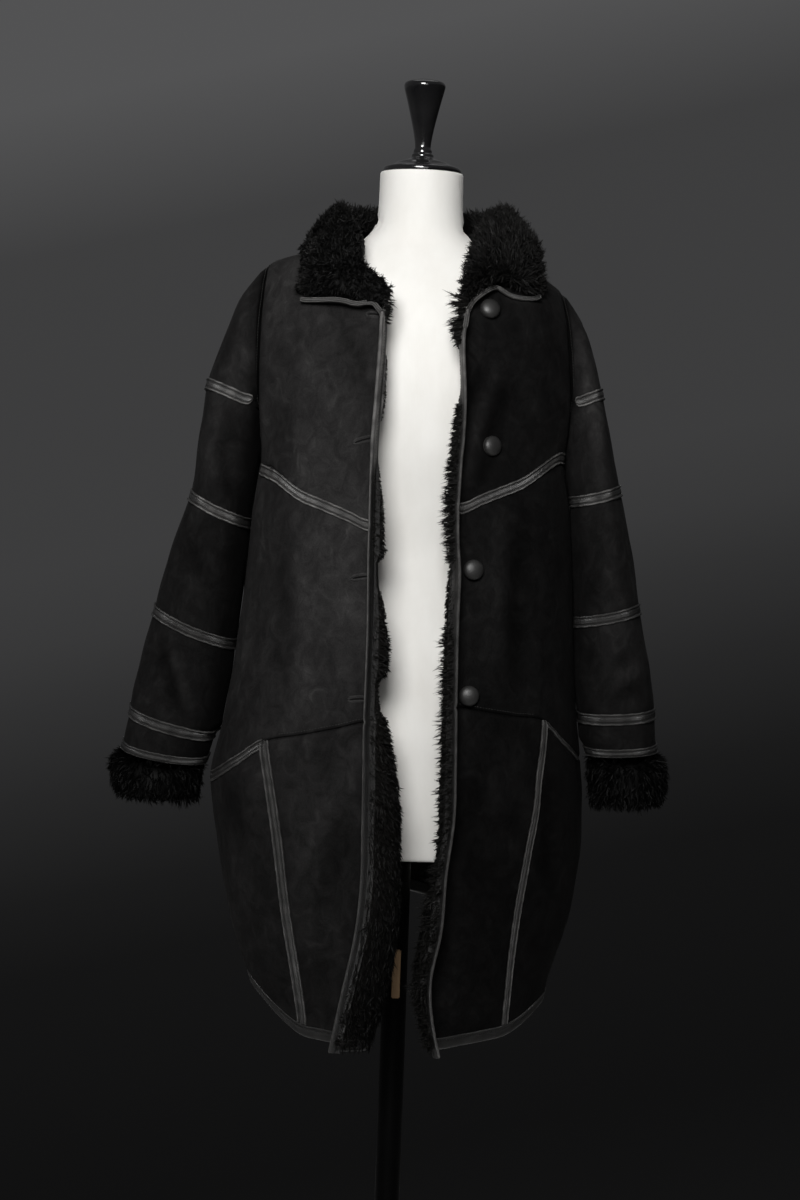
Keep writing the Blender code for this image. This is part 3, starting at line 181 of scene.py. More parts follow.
# front edge: z, free edge x, width turned out
EDGE = {
    "left": [(.500, -.062, .033), (.512, -.060, .033), (.556, -.0545, .035), (.588, -.049, .035),
         (.631, -.0425, .034), (.674, -.038, .034), (.720, -.0385, .033), (.780, -.039, .031),
         (.812, -.0395, .026), (.845, -.040, .019), (.890, -.0395, .010), (.952, -.039, .011),
         (1.059, -.0405, .007), (1.146, -.0405, .004), (1.211, -.0385, .004), (1.298, -.036, .003),
         (1.320, -.036, .003)],
    "right": [(.500, .045, .002), (.512, .044, .002), (.548, .035, .004), (.570, .0345, .006),
         (.612, .041, .009), (.666, .047, .010), (.698, .048, .007), (.741, .053, .005),
         (.784, .055, .006), (.848, .053, .006), (.900, .0525, .008), (.944, .0525, .007),
         (1.020, .053, .006), (1.084, .049, .004), (1.149, .050, .003), (1.214, .052, .003),
         (1.280, .049, .003), (1.312, .052, .003), (1.330, .052, .003)]}
STRIP_X = {"left": [(.500, .096), (.543, .1015), (.690, .126), (.838, .1495), (.860, .1515)],
           "right": [(.500, .118), (.557, .123), (.699, .1355), (.870, .154), (.900, .156)]}
# lattice rows, by z: front edge l r, strip l r, side l r, back centre; steps up to the next
ROWS = [("hem", (.510, .511), (.518, .524), (.573, .556), .663, 1),
        ("hem_top", (.521, .522), (.529, .535), (.584, .567), .674, 6),
        ("hip", (.864, .883), (.838, .870), (.793, .827), .835, 6),
        ("chest", (1.075, 1.097), (1.106, 1.127), (1.148, 1.148), 1.148, 14)]
CHEST_SIDE = {"left": 1.150, "right": 1.164}   # where the chest seam reaches the visible side
EDGE_TOP = {"left": 1.306, "right": 1.312}
NECK_F = {
    "left": [(.048, 1.316), (.054, 1.340), (.0585, 1.359), (.062, 1.374), (.066, 1.390),
         (.0695, 1.401)],
    "right": [(.0605, 1.322), (.0625, 1.342), (.0645, 1.359), (.0665, 1.373), (.069, 1.386),
         (.0710, 1.395)]}
NECK_B = [(0, 1.394), (.014, 1.3945), (.028, 1.396), (.041, 1.398), (.052, 1.400), (.062, 1.403),
          (.069, 1.406)]
# sleeve rings below the cap: outer x z, inner x z, y centre, y half depth, front drop
RINGS = {
    "left": [("band2", .247, 1.107, .1855, 1.076, .004, .076, -.004),
         ("band3", .283, .978, .199, .942, -.002, .060, -.006),
         ("band4", .306, .866, .210, .842, -.010, .055, -.009),
         ("trim", .3125, .824, .218, .811, -.014, .053, -.009),
         ("end", .314, .772, .224, .768, -.016, .052, -.006)],
    "right": [("band2", .234, 1.127, .1855, 1.112, .004, .076, -.003),
         ("band3", .259, .996, .190, .979, -.002, .062, -.004),
         ("band4", .2795, .880, .200, .874, -.008, .057, -.005),
         ("trim", .283, .838, .205, .833, -.012, .056, -.005),
         ("end", .286, .779, .209, .776, -.014, .055, -.004)]}
RING_STEPS = [3, 4, 4, 2]       # cap foot..band2, band2..3, 3..4, 4..trim
CAP_STEPS = 3                   # armhole to the first band
# silhouette over the sleeve head
CAP_TOP = {
    "left": [(.169, 1.368), (.180, 1.358), (.190, 1.342), (.199, 1.326), (.209, 1.301), (.219, 1.273),
         (.230, 1.244), (.236, 1.201), (.239, 1.167), (.244, 1.128), (.247, 1.107)],
    "right": [(.159, 1.349), (.170, 1.337), (.179, 1.321), (.189, 1.300), (.197, 1.272), (.207, 1.244),
         (.214, 1.216), (.223, 1.172), (.234, 1.127)]}
BAND1 = {"left": ((.179, 1.208), (.231, 1.230)), "right": ((.176, 1.218), (.212, 1.234))}
# dress form: z, half width, front, back, boxiness
FORM = [(.7100, .150, .098, .105, 2.1), (.7600, .157, .104, .112, 2.1), (.8300, .159, .104, .115, 2.1),
        (.9000, .148, .097, .104, 2.1), (.9800, .122, .086, .088, 2.1), (1.0400, .115, .084, .082, 2.1),
        (1.1000, .124, .093, .088, 2.15), (1.1700, .138, .108, .096, 2.2),
        (1.2200, .146, .112, .100, 2.2), (1.2800, .153, .104, .099, 2.2),
        (1.3200, .151, .092, .090, 2.15), (1.3480, .146, .080, .080, 2.1),
        (1.3640, .126, .071, .073, 2.0), (1.3790, .098, .062, .064, 2.0),
        (1.3950, .066, .053, .055, 2.0), (1.4150, .050, .049, .051, 2.0),
        (1.4400, .047, .047, .048, 2.0), (1.4740, .0465, .0465, .0465, 2.0)]
FINIAL = [(.0437, 1.4743), (.0440, 1.4775), (.0425, 1.4805), (.0330, 1.4830), (.0270, 1.4870),
          (.0180, 1.4890), (.0125, 1.4915), (.0125, 1.4950), (.0105, 1.4965), (.0105, 1.5000),
          (.0085, 1.5030), (.0110, 1.5200), (.0160, 1.5420), (.0205, 1.5600), (.0230, 1.5690),
          (.0235, 1.5730), (.0215, 1.5765), (.0120, 1.5790)]
POLE_R, POLE_TOP = .0140, .7097
BASE = [(.1880, .0), (.1900, .0020), (.1900, .0100), (.1850, .0140), (.1200, .0190), (.0400, .0230),
        (.0250, .0270), (.0230, .0330)]
LEFT_RIGHT = {"left": 0, "right": 1}    # place of a half's value in a pair
FRONT_SHARE = (0, .45, .75, .925, 1)    # columns from the strip to the side, as shares of the way
BACK_SHARE = (0, .2, .4, .58, .74, .87, .96, 1)
MID_X = .120                            # x of the strip's column at the chest seam
ROLL_TURN = ([0, .010, .020, .034], [100, 124, 140, 150])   # width turned out, degrees of turn
YOKE_ROWS = 10                          # rows from the chest seam to the shoulder point
YOKE_SHARE = .75                        # and their share of the yoke's height
RING_BOX = 2.25                         # boxiness of a sleeve's section
CAP_OUT, CAP_UNDER = (.80, 0, -.60), (.28, 0, -1.0)   # way the sleeve leaves the shoulder, the underarm


# ------------------------------------------------------------- helpers
def pchip(points):
    """Monotone cubic through rows (x, a, b, ...); returns f(x) -> array of the other columns."""
    t = np.array([p[0] for p in points], float)
    v = np.array([p[1:] for p in points], float)
    h = np.diff(t)[:, None]
    d = np.diff(v, axis=0) / h
    m = np.zeros_like(v)
    m[0], m[-1] = d[0], d[-1]
    for k in range(1, len(t) - 1):
        w1, w2 = 2 * h[k] + h[k - 1], h[k] + 2 * h[k - 1]
        ok = d[k - 1] * d[k] > 0
        with np.errstate(divide="ignore", invalid="ignore"):
            m[k] = np.where(ok, (w1 + w2) / (w1 / d[k - 1] + w2 / d[k]), 0)

    def f(x):
        x = min(max(x, t[0]), t[-1])
        k = min(max(int(np.searchsorted(t, x)) - 1, 0), len(t) - 2)
        hk = t[k + 1] - t[k]
        s = (x - t[k]) / hk
        return ((2 * s**3 - 3 * s**2 + 1) * v[k] + (s**3 - 2 * s**2 + s) * hk * m[k]
                + (-2 * s**3 + 3 * s**2) * v[k + 1] + (s**3 - s**2) * hk * m[k + 1])
    return f


def unit(v):
    return v / max(np.linalg.norm(v), 1e-12)


def lerp(a, b, t):
    return a + (b - a) * t


SGN = {"left": -1.0, "right": 1.0}
half_w = {s: pchip(HALF[s]) for s in HALF}
depth = pchip(DEPTH)
edge_at = {s: pchip(EDGE[s]) for s in EDGE}
strip_x = {s: pchip(STRIP_X[s]) for s in STRIP_X}
opener = pchip(OPENER)
ARM_FLAT = [(1.0, 0, 0), (1.5, 0, 0)]   # below and above the armhole
arm_y = {s: pchip(sorted([(a[LEFT_RIGHT[s]], a[2], a[3]) for a in ARM] + ARM_FLAT)) for s in SGN}


def skin_y(side, half, x, z):
    """y of the body's outer skin at |x|, z."""
    a = half_w[side](z)[0]
    front, back, n = depth(z)
    b = front if half == "front" else back
    ya = abs(arm_y[side](z)[0 if half == "front" else 1])
    av = a + opener(z)[0]
    c = max(0.0, 1 - (a / av) ** n) ** (1 / n)
    ys = (ya - b * c) / (1 - c)                     # side of the section, in the direction of this half
    y = ys + (b - ys) * max(0.0, 1 - (min(x, av) / av) ** n) ** (1 / n)
    return -y if half == "front" else y


# ------------------------------------------------------------- the outer skin
verts, vid = [], {}
ROW, S_ROW = {}, {}                     # lattice row numbers by name, body and sleeve


def add(key, p):
    if key not in vid:
        vid[key] = len(verts)
        verts.append(np.array(p, float))
    return vid[key]


def number_rows():
    n = 0
    for row in ROWS:
        ROW[row[0]] = n
        n += row[-1]
    ROW["shoulder"], ROW["neck"] = ROW["chest"] + YOKE_ROWS, n


number_rows()
NR = ROW["neck"]


def row_z(side, station, j):
    """z of lattice row j, up to the chest, at a station of ROWS: 1 edge, 2 strip, 3 side, 4 back centre."""
    k = max(q for q in range(len(ROWS) - 1) if ROW[ROWS[q][0]] <= j)
    t = (j - ROW[ROWS[k][0]]) / ROWS[k][-1]
    low, high = ROWS[k][station], ROWS[k + 1][station]
    if station != 4:
        low, high = low[LEFT_RIGHT[side]], high[LEFT_RIGHT[side]]
    return lerp(low, high, t)


def roll(side, z):
    """Turned-out front edge at height z: start x, turn, radius, straight length."""
    xe, w = edge_at[side](z)
    turn = math.radians(float(np.interp(w, *ROLL_TURN)))
    r = ROLL_R + ROLL_R_GROWS * w
    straight = max(ROLL_FLAT, (w - r * (1 - math.sin(turn))) / max(-math.cos(turn), .15))
    w = r * (1 - math.sin(turn)) - straight * math.cos(turn)
    return abs(xe) - w + r, turn, r, straight


def front_point(side, x, z):
    return np.array([SGN[side] * x, skin_y(side, "front", x, z), z])


def rolled(side, z, k):
    """Column k (0 free edge .. 5 start of the roll) at height z."""
    x0, turn, r, straight = roll(side, z)
    p0 = front_point(side, x0, z)
    t0 = unit(p0 - front_point(side, x0 + .004, z))  # toward the centre
    n0 = np.array([t0[1], -t0[0], 0.0])
    if n0[1] > 0:
        n0 = -n0
    total = straight + r * turn
    s = 0 if k == 0 else BIND_W + (total - BIND_W) * (k - 1) / (ROLL_COL - 1)
    left = total - s                                 # length from the start of the roll
    ang = min(left / r, turn)
    over = max(0.0, left - r * turn)
    p = p0 + r * math.sin(ang) * t0 + r * (1 - math.cos(ang)) * n0
    return p + over * (math.cos(turn) * t0 + math.sin(turn) * n0)


def front_row(side, j):
    """Row j of a front, from the hem up to the chest seam."""
    ze, zs, zd = (row_z(side, q, j) for q in (1, 2, 3))
    x0 = roll(side, ze)[0]
    if j <= ROW["hip"]:
        xs = strip_x[side](zs)[0]
    else:
        t = (j - ROW["hip"]) / (ROW["chest"] - ROW["hip"])
        xs = lerp(strip_x[side](row_z(side, 2, ROW["hip"]))[0], MID_X, t)
    for i in range(ROLL_COL + 1):
        add(("F", side, i, j), rolled(side, ze, i))
    for i in range(ROLL_COL + 1, STRIP_COL + 1):
        t = (i - ROLL_COL) / (STRIP_COL - ROLL_COL)
        add(("F", side, i, j), front_point(side, lerp(x0, xs, t), lerp(ze, zs, t)))
    for i in range(STRIP_COL + 1, NF + 1):
        share = FRONT_SHARE[i - STRIP_COL]
        r = lerp(xs / half_w[side](zs)[0], 1, share)
        z = lerp(zs, zd, share ** (1.5 if j <= ROW["hem_top"] else 1))
        if j == ROW["chest"] and i < NF:
            z = lerp(zs, CHEST_SIDE[side], share if i < NF - 1 else .72)
        add(("F", side, i, j), front_point(side, r * half_w[side](z)[0], z))


def back_row(side, j):
    """Row j of half the back, from the hem up to the chest seam; its side column is the front's."""
    zd, zc = row_z(side, 3, j), row_z(side, 4, j)
    for i, r in enumerate(BACK_SHARE):
        z = zd + (zc - zd) * (1 - r ** 1.7)
        if i == NB:
            vid[("B", side, i, j)] = vid[("F", side, NF, j)]
        elif i == 0 and side == "right":
            vid[("B", side, i, j)] = vid[("B", "left", 0, j)]
        else:
            x = r * half_w[side](z)[0]
            add(("B", side, i, j), (SGN[side] * x, skin_y(side, "back", x, z), z))


def yoke_ends(side):
    """(x, z) up the armhole, then along the shoulder seam to the neck, for each yoke row."""
    ends = []
    for z in (a[LEFT_RIGHT[side]] for a in ARM[::-1]):
        ends.append((half_w[side](z)[0], z))
    return ends + [(x, z) for z, x in HALF[side][-4:]]


def yoke(side, kind):
    """Coons patch between chest seam, front edge or back centre, armhole with shoulder, and neckline."""
    half = "front" if kind == "F" else "back"
    cols = list(range(ROLL_COL, NF + 1)) if kind == "F" else list(range(NB + 1))
    rows = range(ROW["chest"], NR + 1)
    ends = yoke_ends(side)
    bottom = [verts[vid[(kind, side, i, ROW["chest"])]] for i in cols]
    bottom = [(abs(p[0]), p[2]) for p in bottom]
    z_top = EDGE_TOP[side] if kind == "F" else NECK_B[0][1]
    arm_rows = np.linspace(0, YOKE_SHARE, YOKE_ROWS + 1)
    vs = [*arm_rows, *np.linspace(YOKE_SHARE, 1, NR - ROW["shoulder"] + 1)[1:]]
    zs = [lerp(bottom[0][1], z_top, v) for v in vs]
    if kind == "F":
        starts = [(roll(side, z)[0], z) for z in zs]
        top = [starts[-1]] + NECK_F[side] + [ends[-1]]
    else:
        starts = [(0.0, z) for z in zs]
        drop = 0 if side == "left" else .008 / .072     # the right shoulder is the lower one
        top = [starts[-1]] + [(x, z - drop * x) for x, z in NECK_B[1:]] + [ends[-1]]
    us = np.cumsum([0] + [math.dist(a, b) for a, b in zip(bottom, bottom[1:])])
    us = us / us[-1]
    B, T, L, R = (np.array(q, float) for q in (bottom, top, starts, ends))
    for q, j in enumerate(rows):
        if q == 0:
            continue
        v = vs[q]
        for c, i in enumerate(cols):
            u = us[c]
            x, z = ((1 - v) * B[c] + v * T[c] + (1 - u) * L[q] + u * R[q] - (1 - u) * (1 - v) * B[0]
                    - u * (1 - v) * B[-1] - (1 - u) * v * T[0] - u * v * T[-1])
            if 0 < c < len(cols) - 1:
                x = min(x, half_w[side](z)[0] * (.985 if c < len(cols) - 2 else .992))
            key = (kind, side, i, j)
            if kind == "B" and i == NB and j >= ROW["shoulder"]:
                vid[key] = vid[("F", side, NF, j)]
            elif kind == "B" and i == 0 and side == "right":
                vid[key] = vid[("B", "left", 0, j)]
            else:
                add(key, (SGN[side] * x, skin_y(side, half, x, z), z))
    if kind == "F":
        for q, j in enumerate(rows):
            if q:
                for i in range(ROLL_COL):
                    add(("F", side, i, j), rolled(side, zs[q], i))


for side in SGN:
    for j in range(ROW["chest"] + 1):
        front_row(side, j)
        back_row(side, j)
    yoke(side, "F")
    yoke(side, "B")


def wave(side, kind, x, z):
    """Soft lie of the cloth below the chest: a few broad waves."""
    k = SGN[side]
    low = np.clip((1.12 - z) / .10, 0, 1)
    broad = math.sin(23 * x * k + 12.3 * z + (1.0 if kind == "F" else 2.3)) * math.sin(9.5 * z + k)
    return (.0022 * broad + .0018 * math.sin(41 * x + 17 * z + 1.7 * k)) * low


for key, q in list(vid.items()):
    kind, side, i, j = key
    fixed = i < ROLL_COL + 1 or i == NF if kind == "F" else i == NB
    if j <= ROW["chest"] and not fixed:
        p = verts[q]
        d = unit(np.array([p[0], p[1] * 1.4, 0]))
        verts[q] = p + d * wave(side, kind, abs(p[0]), p[2])


def loop_key(side, i):
    """Armhole vertex i of 20: 0 shoulder point, 5 front, 10 underarm, 15 back."""
    i %= NS
    if i <= NS // 2:
        return ("F", side, NF, ROW["shoulder"] - i)
    return ("B", side, NB, ROW["chest"] + i - NS // 2)


def ring_angle(i):
    return 2 * math.pi * i / NS


def ring_point(side, ring, phi):
    """Point of a sleeve's section at angle phi from its outer end, round by the front."""
    xo, zo, xi, zi, yc, ry, drop = ring
    c, s = math.cos(phi), math.sin(phi)
    cc = math.copysign(abs(c) ** (2 / RING_BOX), c)
    ss = math.copysign(abs(s) ** (2 / RING_BOX), s)
    x = (xo + xi) / 2 + cc * (xo - xi) / 2
    z = (zo + zi) / 2 + cc * (zo - zi) / 2 + drop * ss * (1 if s > 0 else .4)
    return np.array([SGN[side] * x, yc - ry * ss, z])


def cap_curve(side, i, s):
    """Down the sleeve from the armhole (s = 0) to the second band (s = 1) on column i."""
    phi = ring_angle(i)
    a = verts[vid[loop_key(side, i)]]
    b = ring_point(side, RINGS[side][0][1:], phi)
    chord = np.linalg.norm(b - a)
    w = (1 - math.cos(phi)) / 2
    sg = np.array([SGN[side], 1, 1])
    ta = lerp(sg * CAP_OUT, sg * CAP_UNDER, w ** .8)
    ta = unit(ta + np.array([0, -.22 * math.sin(phi), 0])) * chord * lerp(.75, .9, w)
    tb = unit(ring_point(side, RINGS[side][1][1:], phi) - b) * chord * .8
    return ((2 * s**3 - 3 * s**2 + 1) * a + (s**3 - 2 * s**2 + s) * ta
            + (-2 * s**3 + 3 * s**2) * b + (s**3 - s**2) * tb)


def cap_top(side):
    """Silhouette over the sleeve head as a function of the share of its length."""
    pts = CAP_TOP[side]
    acc = np.cumsum([0] + [math.dist(a, b) for a, b in zip(pts, pts[1:])])
    return pchip([(q / acc[-1], *p) for q, p in zip(acc, pts)])


top_at = {side: cap_top(side) for side in SGN}


def cap_point(side, i, s):
    """cap_curve, moved out so that the sleeve head keeps its silhouette."""
    w = math.cos(ring_angle(min(i, NS - i) if i >= 0 else i) / 2) ** 2
    x, z = top_at[side](s)
    fix = np.array([SGN[side] * x, 0, z]) - cap_curve(side, 0, s)
    fix[1] = 0
    return cap_curve(side, i, s) + fix * w ** 1.5


def band1_share(side, i):
    """Where the first band crosses column i, as a share of the sleeve head; 0 near the underarm."""
    if min(i, NS - i) >= 6:
        return 0.0
    (x0, z0), (x1, z1) = BAND1[side]
    lo, hi = 0.0, .8
    for _ in range(30):
        mid = (lo + hi) / 2
        p = cap_point(side, i, mid)
        line = z0 + (z1 - z0) * np.clip((abs(p[0]) - x0) / (x1 - x0), -.2, 1.2)
        if p[2] > line:
            lo = mid
        else:
            hi = mid
    return lo


def sleeve_head(side):
    """Rows from the armhole past the first band to the second."""
    for i in range(NS):
        s1 = band1_share(side, i)
        for q in range(CAP_STEPS + 1):
            if s1 == 0 or q == 0:
                vid[("S", side, i, q)] = vid[loop_key(side, i)]
            else:
                add(("S", side, i, q), cap_point(side, i, s1 * q / CAP_STEPS))
        for q in range(1, RING_STEPS[0] + 1):
            add(("S", side, i, CAP_STEPS + q), cap_point(side, i, s1 + (1 - s1) * q / RING_STEPS[0]))


def sleeve_tube(side):
    """Rows from the second band to the trim over the cuff, with a slight swell between the bands."""
    base = S_ROW["band2"]
    ring_at = pchip([(q, *r[1:]) for q, r in enumerate(RINGS[side])])
    for seg, count in enumerate(RING_STEPS[1:]):
        for q in range(1, count + 1):
            t = seg + q / count
            ring = ring_at(t)
            middle = (ring_point(side, ring, 0) + ring_point(side, ring, math.pi)) / 2
            for i in range(NS):
                phi = ring_angle(i)
                p = ring_point(side, ring, phi)
                swell = .0016 * math.sin(3 * phi + 2.2 * t) * math.sin(math.pi * t) if q < count else 0
                add(("S", side, i, base + q), p + unit(p - middle) * swell)
        base += count
        S_ROW[RINGS[side][seg + 1][0]] = base


S_ROW["loop"], S_ROW["band1"], S_ROW["band2"] = 0, CAP_STEPS, CAP_STEPS + RING_STEPS[0]
for side in SGN:
    sleeve_head(side)
    sleeve_tube(side)
NSR = S_ROW["trim"]


# ------------------------------------------------------------- cuts
def cut_of(kind, side, i, j):
    """Name of the cut at the lattice place (i, j)."""
    if kind == "B":
        return "back_lower" if j < ROW["hip"] else "back_upper"
    if kind == "F" and j < ROW["hip"]:
        return ("front_lower_" if i < STRIP_COL else "pocket_panel_") + side
    if kind == "F":
        return ("front_middle_" if j < ROW["chest"] else "front_yoke_") + side
    bands = sum(j >= S_ROW[name] for name in ("band1", "band2", "band3", "band4"))
    return f"sleeve_{bands + 1}_{side}"


def wall_thickness():
    """Hide and wool; thin under the bindings, at the neck and where cuts crowd at the underarm."""
    wall = np.full(len(V), WALL)
    for (kind, side, i, j), q in vid.items():
        if kind in "FB" and (j <= 1 or kind == "F" and i <= 1):
            wall[q] = WALL_BOUND
        if kind in "FB" and j >= NR - 1 and wall[q] > WALL_NECK:
            wall[q] = WALL_NECK if j == NR else WALL_NEAR_NECK
    for side in SGN:
        for i in range(7, 14):
            wall[vid[loop_key(side, i)]] = WALL_ARM
            for q in (1, 2):
                wall[vid[("S", side, i, q + CAP_STEPS)]] = WALL_NEAR_ARM
        for j in range(ROW["chest"] - 1, ROW["chest"] + 4):
            wall[vid[("F", side, NF - 1, j)]] = WALL_NEAR_UNDERARM
            wall[vid[("F", side, NF, j)]] = WALL_ARM
            wall[vid[("B", side, NB - 1, j)]] = WALL_NEAR_UNDERARM
    return wall


V = np.array(verts)
wall = wall_thickness()

# ------------------------------------------------------------- the fine skin
FOLDS = [  # sheet, half width, height (a trough is below 0), line through (x, z)
    ("F", .010, -.0012, [(-.157, 1.214), (-.153, 1.165), (-.162, 1.100)]),
    ("F", .010, -.0016, [(-.077, 1.292), (-.062, 1.243), (-.052, 1.198)]),
    ("F", .012, .0012, [(-.124, 1.204), (-.126, 1.133)]),
    ("F", .013, -.0020, [(-.142, 1.062), (-.133, .992), (-.132, .895), (-.138, .860)]),
    ("F", .012, .0016, [(-.120, 1.051), (-.113, .949), (-.109, .872)]),
    ("F", .014, .0012, [(-.060, 1.005), (-.059, .930)]),
    ("F", .014, .0020, [(-.059, .796), (-.094, .749), (-.108, .703)]),
    ("F", .014, -.0018, [(-.052, .780), (-.068, .726), (-.085, .666), (-.089, .607)]),
    ("F", .012, -.0022, [(-.183, .796), (-.186, .763), (-.172, .720)]),
    ("F", .012, .0020, [(-.193, .718), (-.173, .631), (-.151, .572)]),
    ("F", .008, .0026, [(.090, 1.253), (.077, 1.213), (.067, 1.172), (.060, 1.124)]),
    ("F", .009, -.0028, [(.105, 1.240), (.096, 1.200), (.085, 1.159), (.072, 1.118)]),
    ("F", .008, -.0018, [(.066, 1.246), (.062, 1.215), (.059, 1.182)]),
    ("F", .010, -.0012, [(.141, 1.251), (.144, 1.197)]),
    ("F", .014, .0022, [(.099, 1.091), (.095, 1.021), (.102, .957), (.092, .900)]),
    ("F", .012, -.0022, [(.125, 1.087), (.119, 1.017), (.118, .957), (.116, .892)]),
    ("F", .016, .0020, [(.126, .853), (.112, .802), (.094, .758)]),
    ("F", .014, -.0018, [(.104, .855), (.086, .806), (.076, .741)]),
    ("F", .012, -.0018, [(.163, .796), (.159, .731), (.163, .677)]),
    ("F", .010, .0016, [(.143, .795), (.148, .731)]),
    ("B", .013, -.0024, [(-.110, 1.240), (-.085, 1.170), (-.080, 1.090)]),
    ("B", .012, .0020, [(-.060, 1.250), (-.052, 1.160), (-.060, 1.060)]),
    ("B", .014, -.0022, [(.120, 1.220), (.098, 1.150), (.092, 1.040)]),
    ("B", .012, .0018, [(.070, 1.260), (.064, 1.180), (.074, 1.090)]),
    ("B", .015, -.0024, [(-.020, 1.120), (-.012, 1.020), (-.024, .930)]),
    ("B", .015, .0022, [(.032, 1.080), (.040, .980), (.028, .900)]),
    ("B", .016, -.0026, [(-.130, .980), (-.118, .900), (-.128, .850)]),
    ("B", .016, -.0024, [(.140, 1.000), (.126, .910), (.132, .860)]),
    ("B", .015, .0020, [(-.080, .820), (-.092, .760), (-.082, .700)]),
    ("B", .015, -.0020, [(.060, .820), (.052, .770), (.064, .710)]),
    ("B", .014, .0018, [(.130, .810), (.138, .740), (.124, .680)]),
    ("S", .0085, -.0030, [(-.272, .934), (-.257, .890), (-.241, .857)]),
    ("S", .0075, .0026, [(-.261, .938), (-.244, .888), (-.227, .853)]),
    ("S", .012, -.0018, [(-.206, 1.197), (-.206, 1.155), (-.200, 1.100)]),
    ("S", .012, .0014, [(-.228, 1.182), (-.228, 1.121)]),
    ("S", .010, -.0016, [(-.252, 1.054), (-.235, 1.027), (-.212, 1.000)]),
    ("S", .009, -.0024, [(.230, .890), (.247, .903), (.265, .912)]),
    ("S", .008, .0018, [(.230, .904), (.245, .918), (.260, .930)]),
    ("S", .009, -.0018, [(.233, .933), (.250, .944)]),
    ("S", .011, .0016, [(.179, 1.307), (.190, 1.277), (.200, 1.242)]),
    ("S", .010, -.0016, [(.201, 1.101), (.209, 1.048), (.208, 1.003)]),
    ("S", .012, -.0014, [(.199, .959), (.209, .915)]),
    ("T", .009, -.0030, [(-.285, .930), (-.262, .905), (-.238, .900)]),
    ("T", .009, .0024, [(-.280, .950), (-.255, .925), (-.225, .922)]),
    ("T", .010, -.0026, [(-.262, 1.040), (-.238, 1.020), (-.205, 1.030)]),
    ("T", .010, .0020, [(-.258, 1.066), (-.230, 1.046), (-.200, 1.060)]),
    ("T", .012, -.0020, [(-.226, 1.200), (-.214, 1.150), (-.206, 1.100)]),
    ("T", .009, -.0028, [(.268, .940), (.244, .918), (.214, .922)]),
    ("T", .010, .0022, [(.262, .962), (.240, .942), (.206, .948)]),
    ("T", .010, -.0024, [(.246, 1.060), (.222, 1.036), (.196, 1.044)]),
    ("T", .012, -.0020, [(.216, 1.190), (.206, 1.140), (.200, 1.090)])]


def even(n):
    return [(q + 1) / n for q in range(n)]


# fine rows within each lattice cell, as places from 0 to 1: across each sheet, up the body, down the sleeves
CU = {"F": [even(3)] * 5 + [even(5)] * 3 + [even(4), even(3), even(3), even(2)], "B": [even(6)] * NB,
      "S": [even(3)] * NS}
BY_THE_POCKETS = [even(8)[:-1] + [.94, .975, 1], [.03, .075] + even(8)]      # closer beside the hip seam
RU = [even(3)] + [even(8)] * 5 + BY_THE_POCKETS + [even(7)] * 5 + [even(3)] * (NR - ROW["chest"])
SU = [[.04, .10] + even(8)] + [even(8)] * 2 + [even(7)] * 7 + [even(6)] * 4 + [even(5)] * 2


def unit_rows(v):
    return v / np.maximum(np.linalg.norm(v, axis=-1), 1e-9)[..., None]


def places(U):
    """Lattice places of all the fine rows."""
    out = [0.0]
    for k, us in enumerate(U):
        out += [k + u for u in us]
    return np.array(out)


def refine(G, U, closed=False, lead=None, tail=None):
    """Chord-weighted cubic through the point rows of G (n, m, 3), at the places U[k] of each step."""
    if closed:
        A = np.concatenate([G[-1:], G, G[:2]])
    else:
        a = 2 * G[0] - G[1] if lead is None else np.where(np.isnan(lead), 2 * G[0] - G[1], lead)
        b = 2 * G[-1] - G[-2] if tail is None else np.where(np.isnan(tail), 2 * G[-1] - G[-2], tail)
        A = np.concatenate([a[None], G, b[None]])
    step = np.diff(A, axis=0)
    d = np.maximum(np.linalg.norm(step, axis=2), 1e-7)[..., None]
    v = step / d
    v0 = np.where(d[:-1] < 1e-5, v[1:], v[:-1])
    v1 = np.where(d[1:] < 1e-5, v[:-1], v[1:])
    T = (v0 * d[1:] + v1 * d[:-1]) / (d[1:] + d[:-1])
    rows = [A[1]]
    for k, us in enumerate(U):
        a, b, ta, tb = A[k + 1], A[k + 2], T[k] * d[k + 1], T[k + 1] * d[k + 1]
        for u in us:
            rows.append((2 * u**3 - 3 * u**2 + 1) * a + (u**3 - 2 * u**2 + u) * ta
                        + (-2 * u**3 + 3 * u**2) * b + (u**3 - u**2) * tb)
    return np.array(rows)


def both(G, UI, UJ, closed=False, lead=None, tail=None):
    """G refined along both of its directions; lead and tail are the points beyond its first and last row."""
    R = refine(G, UI, closed, lead, tail)
    return refine(R.transpose(1, 0, 2), UJ).transpose(1, 0, 2)


def flat_refine(G, UI, UJ, closed=False):
    """The same places, straight between, for the wall's thickness."""
    A = np.concatenate([G, G[:1]]) if closed else G
    x = np.arange(A.shape[0])
    A = np.array([np.interp(places(UI), x, A[:, q]) for q in range(A.shape[1])]).T
    return np.array([np.interp(places(UJ), np.arange(A.shape[1]), row) for row in A])


PI = {k: places(CU[k]) for k in CU}
PJ = {"F": places(RU), "B": places(RU), "S": places(SU)}
COLUMNS = {"F": range(NF + 1), "B": range(NB + 1), "S": range(NS)}
UP = {"F": RU, "B": RU, "S": SU}
TOP_ROW = {"F": NR, "B": NR, "S": NSR}
grid, thick = {}, {}


def on_lattice(kind, side, arr, columns=None):
    """Values of arr at the lattice points of a sheet, by column and row."""
    return np.array([[arr[vid[kind, side, i, j]] for j in range(TOP_ROW[kind] + 1)]
                     for i in columns or COLUMNS[kind]])


def fine_row(kind, row):
    """Number of the first fine row at or past a lattice row."""
    return int(np.searchsorted(PJ[kind], row - 1e-6))


